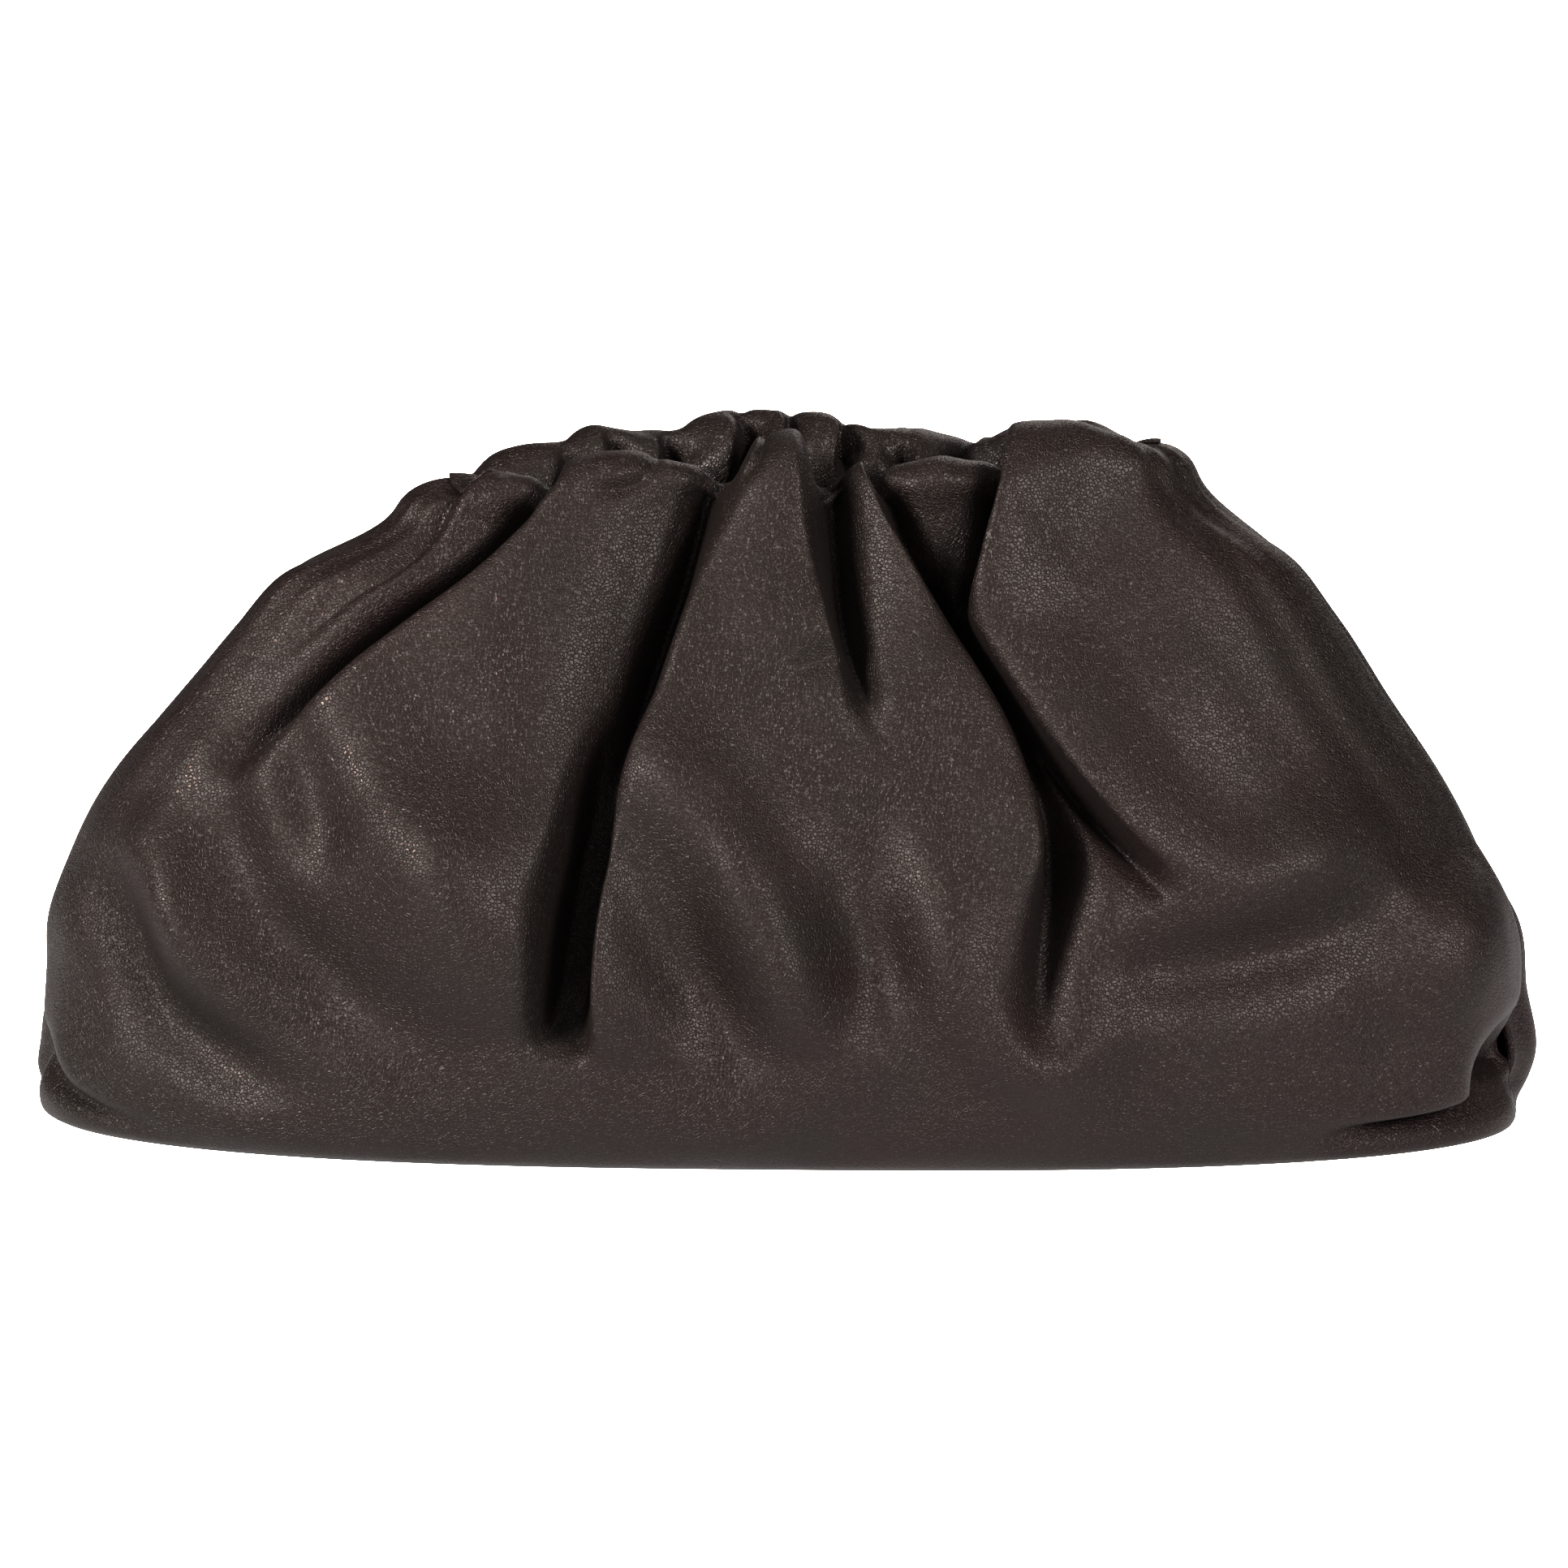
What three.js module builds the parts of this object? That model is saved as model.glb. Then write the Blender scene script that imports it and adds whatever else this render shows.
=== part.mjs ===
// A soft leather pouch bag, gathered at its mouth and standing on its base.
// Millimetres, +Z up, origin on the floor under the middle of the bag, front towards -Y.
import * as THREE from "three";

// Bag
const bellyWidth = 386;
const bellyDepth = 150;
const bellySquareness = 2.35;
const crestHeight = 178;
const leatherWall = 2;
const sewnGap = 0.3;

// Mouth: the slit between the two lips, and the lips around it
const slitWidth = 150;
const slitGap = 9;
const slitShift = 8;
const slitSquareness = 4;
const lipWidth = 206;
const lipShift = 3;
const lipThickness = 24;
const lipSquareness = 2.6;
const lipRoll = 12;
const crestDropLeft = 8;
const crestDropRight = 3;
const hemDrop = 20;

// Frame bar hidden in the lips
const frameThickness = 2.5;
const frameHeight = 8;
const frameAboveHem = 6;

// Leather patch over the top of each side seam
const patchThickness = 1.2;
const patchColumns = 2;
const patchRows = 3;

// Folds: the size that each share in the tables below is taken of
const foldDepth = 16;
const foldCrisp = 9;
const foldSoft = 24;
const seamGroove = 6;
const seamGrooveWidth = 8;
const seamGrooveFade = 0.25;
const restBand = 16;
const lipFade = 0.3;

// Steps of the faceted leather
const frontColumns = 54;
const backColumns = 38;
const columnWarp = 0.3;
const wallRows = 20;
const rollRows = 6;
const hemRows = 1;
const pathSteps = 20;

// Wall of the bag from the floor up to the lip. rise is a share of the lip's shoulder height;
// left, right and face say how far out the wall is, from 0 under the lip to 1 at the belly.
const wallSections = [
  { rise: 0.0, left: 0.95, right: 0.93, face: 0.76 },
  { rise: 0.012, left: 0.98, right: 0.96, face: 0.85 },
  { rise: 0.045, left: 1.0, right: 0.99, face: 0.93 },
  { rise: 0.1, left: 0.985, right: 0.995, face: 0.985 },
  { rise: 0.19, left: 0.975, right: 0.95, face: 1.0 },
  { rise: 0.3, left: 0.96, right: 0.93, face: 0.98 },
  { rise: 0.42, left: 0.902, right: 0.835, face: 0.9 },
  { rise: 0.54, left: 0.8, right: 0.714, face: 0.765 },
  { rise: 0.66, left: 0.64, right: 0.555, face: 0.585 },
  { rise: 0.77, left: 0.472, right: 0.42, face: 0.395 },
  { rise: 0.87, left: 0.305, right: 0.282, face: 0.225 },
  { rise: 0.94, left: 0.162, right: 0.133, face: 0.09 },
  { rise: 1.0, left: 0.0, right: 0.0, face: 0.0 },
];

// How far each lip stands over the crest height, as a share of lipRoll, from the slit's left end to its right.
const lipSections = [
  { front: 0.0, back: 0.0 },
  { front: -0.1, back: 0.05 },
  { front: -0.2, back: 0.08 },
  { front: -0.2, back: 0.15 },
  { front: -0.15, back: 0.05 },
  { front: 0.1, back: 0.0 },
  { front: 0.25, back: 0.1 },
  { front: 0.1, back: 0.1 },
];

// Folds of the front, from the mouth outwards. path holds [across, up] pairs: across is a share of
// half the belly's width, up a share of the crest height along the leather, over 1 on top of the lip.
// depth, crisp and soft are shares of foldDepth, foldCrisp and foldSoft. crisp is the width of the
// steep side with the ridge and soft the width of the gentle side. ridge is the side that the ridge is on,
// seen from outside (1 is right, -1 is left), lift is its height and lap how far it leans over
// the valley, both as shares of depth. head is the depth at the start as a share of the deepest,
// which is at peak along the path.
const frontFolds = [
  { name: "long_left", ridge: 1, depth: 0.8, crisp: 1.0, soft: 0.75, lift: 0.3, lap: 0.1, head: 0.45, peak: 0.6,
    path: [[-0.27, 1.2], [-0.3, 0.96], [-0.36, 0.87], [-0.45, 0.78], [-0.56, 0.69], [-0.66, 0.61], [-0.75, 0.54]] },
  { name: "far_left", ridge: 1, depth: 0.35, crisp: 1.1, soft: 0.7, lift: 0.3, lap: 0.1, head: 0.9, peak: 0.2,
    path: [[-0.38, 1.1], [-0.46, 0.9], [-0.6, 0.76], [-0.74, 0.65]] },
  { name: "middle_left", ridge: 1, depth: 0.9, crisp: 0.9, soft: 0.4, lift: 0.25, lap: 0.1, head: 0.35, peak: 0.5,
    path: [[-0.07, 1.2], [-0.085, 0.97], [-0.11, 0.89], [-0.15, 0.79], [-0.2, 0.67], [-0.245, 0.54],
      [-0.28, 0.42], [-0.3, 0.31], [-0.285, 0.19]] },
  { name: "middle_left_end", ridge: -1, depth: 0.3, crisp: 0.9, soft: 0.3, lift: 0.6, lap: 0.1, head: 0.0, peak: 0.6,
    path: [[-0.24, 0.6], [-0.27, 0.48], [-0.31, 0.36], [-0.31, 0.27], [-0.285, 0.19]] },
  { name: "middle_right", ridge: -1, depth: 0.75, crisp: 0.8, soft: 0.45, lift: 0.25, lap: 0.1, head: 0.35, peak: 0.5,
    path: [[0.03, 1.2], [0.04, 0.96], [0.05, 0.88], [0.07, 0.8], [0.1, 0.72], [0.13, 0.64]] },
  { name: "strip_edge", ridge: -1, depth: 0.65, crisp: 0.8, soft: 0.6, lift: 0.3, lap: 0.1, head: 0.4, peak: 0.45,
    path: [[0.12, 1.2], [0.135, 0.95], [0.18, 0.87], [0.23, 0.78], [0.28, 0.7], [0.32, 0.62], [0.36, 0.52], [0.38, 0.42]] },
  { name: "right_lower", ridge: 1, depth: 0.55, crisp: 1.0, soft: 0.4, lift: 0.3, lap: 0.1, head: 0.1, peak: 0.6,
    path: [[0.25, 0.8], [0.29, 0.71], [0.335, 0.62], [0.375, 0.52], [0.385, 0.42], [0.375, 0.32], [0.355, 0.2]] },
  { name: "right_panel_edge", ridge: 1, depth: 0.6, crisp: 0.8, soft: 0.6, lift: 0.4, lap: 0.15, head: 0.6, peak: 0.4,
    path: [[0.29, 1.2], [0.29, 0.98], [0.285, 0.9], [0.265, 0.83], [0.24, 0.77], [0.25, 0.7]] },
  { name: "tongue", ridge: 1, depth: 0.7, crisp: 0.9, soft: 0.3, lift: 0.45, lap: 0.1, head: 0.2, peak: 0.55,
    path: [[0.34, 0.64], [0.4, 0.55], [0.455, 0.47], [0.505, 0.4], [0.53, 0.36]] },
  { name: "lip_tuck_left", ridge: -1, depth: 0.35, crisp: 0.9, soft: 0.3, lift: 0.2, lap: 0.1, head: 0.9, peak: 0.3,
    path: [[-0.18, 1.2], [-0.2, 1.0], [-0.235, 0.93]] },
  { name: "lip_tuck_middle", ridge: 1, depth: 0.25, crisp: 0.8, soft: 0.25, lift: 0.2, lap: 0.1, head: 0.9, peak: 0.3,
    path: [[-0.03, 1.2], [-0.045, 1.0], [-0.065, 0.95]] },
  { name: "cheek_crease", ridge: 1, depth: 0.35, crisp: 0.9, soft: 0.3, lift: 0.5, lap: 0.1, head: 0.1, peak: 0.6,
    path: [[0.02, 0.68], [0.06, 0.7], [0.1, 0.69], [0.15, 0.62], [0.18, 0.57]] },
];

// Soft hollows (depth over 0) and swells (under 0) of the front. across and up place the middle,
// wide and tall are the half sizes, all as shares of half the belly's width and the crest height,
// and lean turns them, in degrees, anticlockwise as seen from outside.
const frontHollows = [
  { across: -0.22, up: 0.955, wide: 0.055, tall: 0.03, lean: 15, depth: 0.4 },
  { across: -0.62, up: 0.5, wide: 0.035, tall: 0.12, lean: 5, depth: 0.2 },
  { across: -0.8, up: 0.3, wide: 0.06, tall: 0.14, lean: 30, depth: 0.22 },
  { across: -0.12, up: 0.36, wide: 0.06, tall: 0.2, lean: 20, depth: 0.16 },
  { across: 0.02, up: 0.36, wide: 0.05, tall: 0.2, lean: 20, depth: -0.16 },
  { across: 0.2, up: 0.42, wide: 0.1, tall: 0.18, lean: 0, depth: 0.14 },
  { across: 0.68, up: 0.3, wide: 0.12, tall: 0.05, lean: 20, depth: 0.25 },
  { across: 0.55, up: 0.62, wide: 0.14, tall: 0.22, lean: 25, depth: -0.2 },
  { across: -0.4, up: 0.55, wide: 0.1, tall: 0.2, lean: -35, depth: -0.22 },
  { across: -0.45, up: 0.24, wide: 0.16, tall: 0.1, lean: 0, depth: -0.16 },
];

// Folds and hollows of the back, laid out in the same way and seen from behind.
const backFolds = [
  { name: "back_far_left", ridge: 1, depth: 0.5, crisp: 1.1, soft: 0.7, lift: 0.15, lap: 0.1, head: 0.3, peak: 0.3,
    path: [[-0.4, 1.25], [-0.44, 0.95], [-0.55, 0.82], [-0.7, 0.66]] },
  { name: "back_left", ridge: 1, depth: 0.8, crisp: 1.0, soft: 0.6, lift: 0.15, lap: 0.1, head: 0.3, peak: 0.4,
    path: [[-0.27, 1.25], [-0.3, 0.95], [-0.38, 0.8], [-0.47, 0.6], [-0.52, 0.45]] },
  { name: "back_middle_left", ridge: -1, depth: 0.9, crisp: 0.95, soft: 0.5, lift: 0.15, lap: 0.1, head: 0.3, peak: 0.45,
    path: [[-0.11, 1.25], [-0.13, 0.95], [-0.17, 0.78], [-0.2, 0.55], [-0.2, 0.35]] },
  { name: "back_middle", ridge: 1, depth: 0.6, crisp: 0.9, soft: 0.5, lift: 0.15, lap: 0.1, head: 0.3, peak: 0.3,
    path: [[0.02, 1.25], [0.02, 0.95], [0.04, 0.8], [0.05, 0.66]] },
  { name: "back_middle_right", ridge: -1, depth: 0.95, crisp: 1.0, soft: 0.55, lift: 0.15, lap: 0.1, head: 0.3, peak: 0.45,
    path: [[0.14, 1.25], [0.16, 0.95], [0.22, 0.76], [0.29, 0.52], [0.3, 0.3]] },
  { name: "back_right", ridge: -1, depth: 0.8, crisp: 1.0, soft: 0.6, lift: 0.15, lap: 0.1, head: 0.3, peak: 0.4,
    path: [[0.27, 1.25], [0.31, 0.95], [0.4, 0.78], [0.52, 0.58], [0.6, 0.42]] },
  { name: "back_far_right", ridge: -1, depth: 0.5, crisp: 1.1, soft: 0.7, lift: 0.15, lap: 0.1, head: 0.3, peak: 0.3,
    path: [[0.38, 1.25], [0.43, 0.95], [0.56, 0.8], [0.7, 0.66]] },
];

const backHollows = [
  { across: -0.35, up: 0.3, wide: 0.12, tall: 0.16, lean: 15, depth: 0.2 },
  { across: 0.05, up: 0.4, wide: 0.1, tall: 0.2, lean: 0, depth: -0.2 },
  { across: 0.5, up: 0.28, wide: 0.14, tall: 0.1, lean: -20, depth: 0.22 },
  { across: -0.6, up: 0.5, wide: 0.1, tall: 0.2, lean: -25, depth: -0.2 },
];

// Small gathers over each lip. across is a share of half the slit's width and depth one of foldDepth.
const frontGathers = [
  { across: -0.72, depth: 0.2 },
  { across: -0.4, depth: 0.22 },
  { across: 0.42, depth: 0.25 },
  { across: 0.86, depth: 0.2 },
];
const backGathers = [
  { across: -0.9, depth: 0.34 },
  { across: -0.67, depth: 0.42 },
  { across: -0.42, depth: 0.4 },
  { across: -0.19, depth: 0.36 },
  { across: 0.08, depth: 0.45 },
  { across: 0.28, depth: 0.4 },
  { across: 0.55, depth: 0.48 },
  { across: 0.82, depth: 0.36 },
];

// Dents beside the side seams, low on the bag. along is a share of the crest height, out from the
// seam a share of half the belly's depth, and the two half sizes are shares of the same lengths.
const sideDents = [
  { side: 1, panel: -1, along: 0.135, out: 0.1, tall: 0.045, wide: 0.16, depth: 1.0 },
  { side: -1, panel: -1, along: 0.12, out: 0.12, tall: 0.05, wide: 0.3, depth: 0.3 },
  { side: 1, panel: 1, along: 0.2, out: 0.2, tall: 0.08, wide: 0.3, depth: 0.35 },
  { side: -1, panel: 1, along: 0.25, out: 0.25, tall: 0.1, wide: 0.3, depth: 0.3 },
];

const FRONT = -1;
const BACK = 1;

function smooth(value) {
  const share = THREE.MathUtils.clamp(value, 0, 1);
  return share * share * (3 - 2 * share);
}

function bump(distance, width) {
  return Math.exp(-((distance / width) ** 2));
}

// Smooth value of one column of a table, at a place from 0 (first row) to 1 (last row).
function tableValue(table, column, place) {
  const at = THREE.MathUtils.clamp(place, 0, 1) * (table.length - 1);
  const row = Math.min(Math.floor(at), table.length - 2);
  const [a, b, c, d] = [row - 1, row, row + 1, row + 2].map(
    (i) => table[THREE.MathUtils.clamp(i, 0, table.length - 1)][column],
  );
  const t = at - row;
  return b + 0.5 * t * (c - a + t * (2 * a - 5 * b + 4 * c - d + t * (3 * (b - c) + d - a)));
}

// Point of a rounded loop seen from above: its half width and half depth, how square it is, and its shift in x.
function loopPoint(halfWidth, halfDepth, squareness, shift, angle) {
  const [c, s] = [Math.cos(angle), Math.sin(angle)];
  const reach = (Math.abs(c) ** squareness + Math.abs(s) ** squareness) ** (-1 / squareness);
  return new THREE.Vector2(shift + halfWidth * reach * c, halfDepth * reach * s);
}

function slitPoint(angle) {
  return loopPoint(slitWidth / 2, slitGap / 2, slitSquareness, slitShift, angle);
}

function lipPoint(angle) {
  return loopPoint(lipWidth / 2, slitGap / 2 + lipThickness, lipSquareness, lipShift, angle);
}

function bellyPoint(angle) {
  return loopPoint(bellyWidth / 2, bellyDepth / 2, bellySquareness, 0, angle);
}

function crestZ(angle) {
  const share = Math.cos(angle);
  const lip = Math.sin(angle) < 0 ? "front" : "back";
  const lift = lipRoll * tableValue(lipSections, lip, (slitPoint(angle).x - slitShift) / slitWidth + 0.5);
  return crestHeight + lift - (share < 0 ? crestDropLeft : crestDropRight) * share * share;
}

// The bag's plain skin, before its folds. stage runs from 0 at the floor to 1 at the lip's shoulder,
// to 2 over the lip's round top, and to 3 at the hem inside. along is the height measured on the leather.
function plainSkin(angle, stage) {
  const [slit, lip, belly] = [slitPoint(angle), lipPoint(angle), bellyPoint(angle)];
  const shoulder = crestZ(angle) - lipRoll;
  const arc = (Math.PI / 2) * lipRoll;
  if (stage <= 1) {
    const facing = Math.sin(angle) ** 2;
    const side = Math.cos(angle) < 0 ? "left" : "right";
    const spread = THREE.MathUtils.lerp(
      tableValue(wallSections, side, stage),
      tableValue(wallSections, "face", stage),
      facing,
    );
    const z = shoulder * Math.max(tableValue(wallSections, "rise", stage), 0);
    const place = lip.lerp(belly, spread);
    return { point: new THREE.Vector3(place.x, place.y, z), along: z };
  }
  if (stage <= 2) {
    const turn = (stage - 1) * Math.PI;
    const place = slit.lerp(lip, (1 + Math.cos(turn)) / 2);
    const z = shoulder + lipRoll * Math.sin(turn);
    return { point: new THREE.Vector3(place.x, place.y, z), along: shoulder + (arc * 2 * turn) / Math.PI };
  }
  const drop = (stage - 2) * hemDrop;
  return { point: new THREE.Vector3(slit.x, slit.y, shoulder - drop), along: shoulder + arc * 2 + drop };
}

// Outward normal of the plain skin.
function plainNormal(angle, stage) {
  const step = 1e-3;
  const low = Math.max(stage - step, 0);
  const high = Math.min(stage + step, 3);
  const around = plainSkin(angle + step, stage).point.sub(plainSkin(angle - step, stage).point);
  const up = plainSkin(angle, high).point.sub(plainSkin(angle, low).point);
  return around.cross(up).normalize();
}

// Follows a fold's path once, in millimetres across and along the leather.
function tracePath(fold) {
  const points = fold.path.map(
    ([across, up]) => new THREE.Vector2((across * bellyWidth) / 2, up * crestHeight),
  );
  return { ...fold, trace: new THREE.SplineCurve(points).getPoints(pathSteps) };
}

// A small gather over a lip is a short fold straight over its top.
function gatherFold({ across, depth }) {
  const x = ((across * slitWidth) / 2 + slitShift) / (bellyWidth / 2);
  const ridge = across < 0 ? 1 : -1;
  const path = [[x, 1.3], [x, 1.1], [x * 1.06, 0.98]];
  return { name: "gather", ridge, depth, crisp: 0.6, soft: 0.22, lift: 0.2, lap: 0.1, head: 1, peak: 0.5, path };
}

// How far one fold moves the leather at a place: outwards, and sideways along x and up.
function foldShift(fold, across, along) {
  let best = { distance: Infinity };
  for (let i = 0; i < fold.trace.length - 1; i += 1) {
    const [from, to] = [fold.trace[i], fold.trace[i + 1]];
    const run = new THREE.Vector2().subVectors(to, from);
    const reach = new THREE.Vector2(across - from.x, along - from.y);
    const share = THREE.MathUtils.clamp(reach.dot(run) / run.lengthSq(), 0, 1);
    const gap = reach.clone().addScaledVector(run, -share);
    if (gap.length() < best.distance) {
      const left = new THREE.Vector2(run.y, -run.x).normalize();
      best = { distance: gap.length(), gap, side: -left, left, place: (i + share) / pathSteps };
    }
  }
  const growth = THREE.MathUtils.lerp(fold.head, 1, smooth(best.place / fold.peak));
  const fade = smooth((1 - best.place) / (1 - fold.peak));
  const depth = foldDepth * fold.depth * growth * fade;
  const toRidge = -fold.ridge * best.gap.dot(best.left);
  const offset = best.distance * Math.sign(toRidge || 1);
  const crisp = foldCrisp * fold.crisp;
  const soft = foldSoft * fold.soft;
  const valley = bump(offset, offset > 0 ? crisp : soft);
  const ridge = bump(offset - 1.7 * crisp, 1.3 * crisp);
  return {
    out: depth * (fold.lift * ridge - valley),
    side: best.left.clone().multiplyScalar(fold.ridge * fold.lap * depth * ridge),
  };
}

// How deep one hollow is at a place.
function hollowDepth(hollow, across, along) {
  const turn = THREE.MathUtils.degToRad(hollow.lean);
  const reach = new THREE.Vector2(
    across - (hollow.across * bellyWidth) / 2,
    along - hollow.up * crestHeight,
  ).rotateAround(new THREE.Vector2(), -turn);
  const wide = (hollow.wide * bellyWidth) / 2;
  const tall = hollow.tall * crestHeight;
  return foldDepth * hollow.depth * bump(Math.hypot(reach.x / wide, reach.y / tall), 1);
}

function sideDentDepth(dent, point, along) {
  if (Math.sign(point.x) !== dent.side) return 0;
  const out = (Math.abs(point.y) - (dent.out * bellyDepth) / 2) / ((dent.wide * bellyDepth) / 2);
  const up = (along - dent.along * crestHeight) / (dent.tall * crestHeight);
  return foldDepth * dent.depth * bump(Math.hypot(out, up), 1);
}

const frontLayout = {
  facing: FRONT,
  folds: [...frontFolds, ...frontGathers.map(gatherFold)].map(tracePath),
  hollows: frontHollows,
};
const backLayout = {
  facing: BACK,
  folds: [...backFolds, ...backGathers.map(gatherFold)].map(tracePath),
  hollows: backHollows,
};

// The finished skin at an angle and stage of one panel, folds included.
function foldedSkin(layout, angle, stage) {
  const { point, along } = plainSkin(angle, stage);
  const normal = plainNormal(angle, stage);
  const across = -layout.facing * point.x;
  const fromFloor = smooth(point.z / restBand);
  const fromSeam = smooth(Math.abs(point.y) / seamGrooveWidth);
  const overLip = smooth((2 - stage) / lipFade);
  const calm = (stage <= 1 ? fromFloor : overLip) * fromSeam;
  let out = 0;
  const side = new THREE.Vector2();
  for (const fold of layout.folds) {
    const shift = foldShift(fold, across, along);
    out += shift.out * calm;
    side.addScaledVector(shift.side, calm);
  }
  for (const hollow of layout.hollows) out -= hollowDepth(hollow, across, along) * calm;
  for (const dent of sideDents) {
    if (dent.panel === layout.facing && stage <= 1) out -= sideDentDepth(dent, point, along) * fromFloor;
  }
  out -= seamGroove * bump(point.y, seamGrooveWidth) * fromFloor * smooth((1 - stage) / seamGrooveFade);
  const sideways = new THREE.Vector3(-layout.facing * side.x, 0, side.y);
  sideways.addScaledVector(normal, -sideways.dot(normal));
  return point.addScaledVector(normal, out).add(sideways);
}

// Stages of the rows from the floor to the hem.
function rowStages() {
  const wall = Array.from({ length: wallRows + 1 }, (_, i) => i / wallRows);
  const roll = Array.from({ length: rollRows }, (_, i) => 1 + (i + 1) / rollRows);
  const hem = Array.from({ length: hemRows }, (_, i) => 2 + (i + 1) / hemRows);
  return [...wall, ...roll, ...hem];
}

// Grid of skin points of a panel: one row for each stage, from the panel's one seam to its other.
function panelGrid(layout, columns) {
  const start = layout.facing === FRONT ? Math.PI : 0;
  return rowStages().map((stage) =>
    Array.from({ length: columns + 1 }, (_, i) => {
      const share = i / columns;
      const turn = Math.PI * share + columnWarp * Math.sin(2 * Math.PI * share);
      const point = foldedSkin(layout, start + turn, stage);
      if (i === 0 || i === columns) point.y = 0;
      point.y += (layout.facing * sewnGap) / 2;
      return point;
    }),
  );
}

// Outward normals of a grid. Along the seams they stay in the plane of the seam, at the floor they point down.
function gridNormals(grid) {
  const last = grid[0].length - 1;
  return grid.map((row, j) =>
    row.map((_, i) => {
      const around = grid[j][Math.min(i + 1, last)].clone().sub(grid[j][Math.max(i - 1, 0)]);
      const up = grid[Math.min(j + 1, grid.length - 1)][i].clone().sub(grid[Math.max(j - 1, 0)][i]);
      const normal = around.cross(up).normalize();
      if (i === 0 || i === last) normal.y = 0;
      if (j === 0) normal.set(0, 0, -1);
      return normal.normalize();
    }),
  );
}

// Closed shell between two grids of the same size, the outer one and the one under it.
// Each four-sided cell is split along its shorter diagonal, so that the split runs along a ridge.
function shellGeometry(outer, inner) {
  const rows = outer.length;
  const columns = outer[0].length;
  const points = [...outer.flat(), ...inner.flat()];
  const positions = points.flatMap((p) => [p.x, p.y, p.z]);
  const index = [];
  const quad = (a, b, c, d) => {
    const split = points[a].distanceTo(points[c]) < points[b].distanceTo(points[d]);
    index.push(...(split ? [a, b, c, a, c, d] : [a, b, d, b, c, d]));
  };
  const at = (layer, j, i) => layer * rows * columns + j * columns + i;
  for (let j = 0; j < rows - 1; j += 1) {
    for (let i = 0; i < columns - 1; i += 1) {
      quad(at(0, j, i), at(0, j, i + 1), at(0, j + 1, i + 1), at(0, j + 1, i));
      quad(at(1, j, i), at(1, j + 1, i), at(1, j + 1, i + 1), at(1, j, i + 1));
    }
    quad(at(0, j, 0), at(0, j + 1, 0), at(1, j + 1, 0), at(1, j, 0));
    quad(at(0, j + 1, columns - 1), at(0, j, columns - 1), at(1, j, columns - 1), at(1, j + 1, columns - 1));
  }
  for (let i = 0; i < columns - 1; i += 1) {
    quad(at(0, 0, i + 1), at(0, 0, i), at(1, 0, i), at(1, 0, i + 1));
    quad(at(0, rows - 1, i), at(0, rows - 1, i + 1), at(1, rows - 1, i + 1), at(1, rows - 1, i));
  }
  const geometry = new THREE.BufferGeometry();
  geometry.setAttribute("position", new THREE.Float32BufferAttribute(positions, 3));
  geometry.setIndex(index);
  geometry.computeVertexNormals();
  return geometry;
}

// The grid moved along its normals, outwards if the distance is over 0.
function offsetGrid(grid, normals, distance) {
  return grid.map((row, j) => row.map((p, i) => p.clone().addScaledVector(normals[j][i], distance)));
}

function panelGeometry(grid, normals) {
  return shellGeometry(grid, offsetGrid(grid, normals, -leatherWall));
}

// Flat base inside the rim that the two panels leave on the floor.
function baseGeometry(frontGrid, backGrid) {
  const rim = [...frontGrid[0].slice(0, -1), ...backGrid[0].slice(0, -1)];
  const outline = rim.map((p, i) => {
    const before = rim[(i + rim.length - 1) % rim.length];
    const after = rim[(i + 1) % rim.length];
    const inward = new THREE.Vector2(before.y - after.y, after.x - before.x).normalize();
    return new THREE.Vector2(p.x, p.y).addScaledVector(inward, 2 * sewnGap);
  });
  return new THREE.ExtrudeGeometry(new THREE.Shape(outline), { depth: leatherWall, bevelEnabled: false });
}

// The frame bar: one closed band that follows the inner leather of both lips, a little above their hems.
function frameGeometry(front, back) {
  const hem = [front, back].flatMap(({ grid, normals }) =>
    grid.at(-1).slice(0, -1).map((point, i) => ({ point, normal: normals.at(-1)[i] })),
  );
  const sections = hem.map(({ point, normal }) => {
    const near = point.clone().addScaledVector(normal, -leatherWall - 2 * sewnGap);
    const far = near.clone().addScaledVector(normal, -frameThickness);
    const low = point.z + frameAboveHem;
    const top = low + frameHeight;
    return [[near, low], [near, top], [far, top], [far, low]].map(([p, z]) => new THREE.Vector3(p.x, p.y, z));
  });
  const positions = sections.flat().flatMap((p) => [p.x, p.y, p.z]);
  const index = [];
  const count = sections.length;
  for (let i = 0; i < count; i += 1) {
    for (let k = 0; k < 4; k += 1) {
      const [a, b] = [4 * i + k, 4 * i + ((k + 1) % 4)];
      const [c, d] = [4 * ((i + 1) % count) + ((k + 1) % 4), 4 * ((i + 1) % count) + k];
      index.push(a, b, c, a, c, d);
    }
  }
  const geometry = new THREE.BufferGeometry();
  geometry.setAttribute("position", new THREE.Float32BufferAttribute(positions, 3));
  geometry.setIndex(index);
  geometry.computeVertexNormals();
  return geometry;
}

// The patch lies over the seam's top, on the last columns of one panel and the first of the other.
function patchGeometry(before, after) {
  const top = wallRows + Math.ceil(rollRows / 2);
  const rows = Array.from({ length: patchRows + 1 }, (_, k) => top - patchRows + k);
  const strip = (distance) =>
    rows.map((j) => {
      const skins = [before, after].map(({ grid, normals }) => offsetGrid([grid[j]], [normals[j]], distance)[0]);
      return [...skins[0].slice(-1 - patchColumns), ...skins[1].slice(1, patchColumns + 1)];
    });
  return shellGeometry(strip(2 * sewnGap + patchThickness), strip(2 * sewnGap));
}

const brownLeather = new THREE.MeshStandardMaterial({ color: 0x3b3431, roughness: 0.5, metalness: 0 });
const frameSteel = new THREE.MeshStandardMaterial({ color: 0x8a8580, roughness: 0.35, metalness: 1 });

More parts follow.
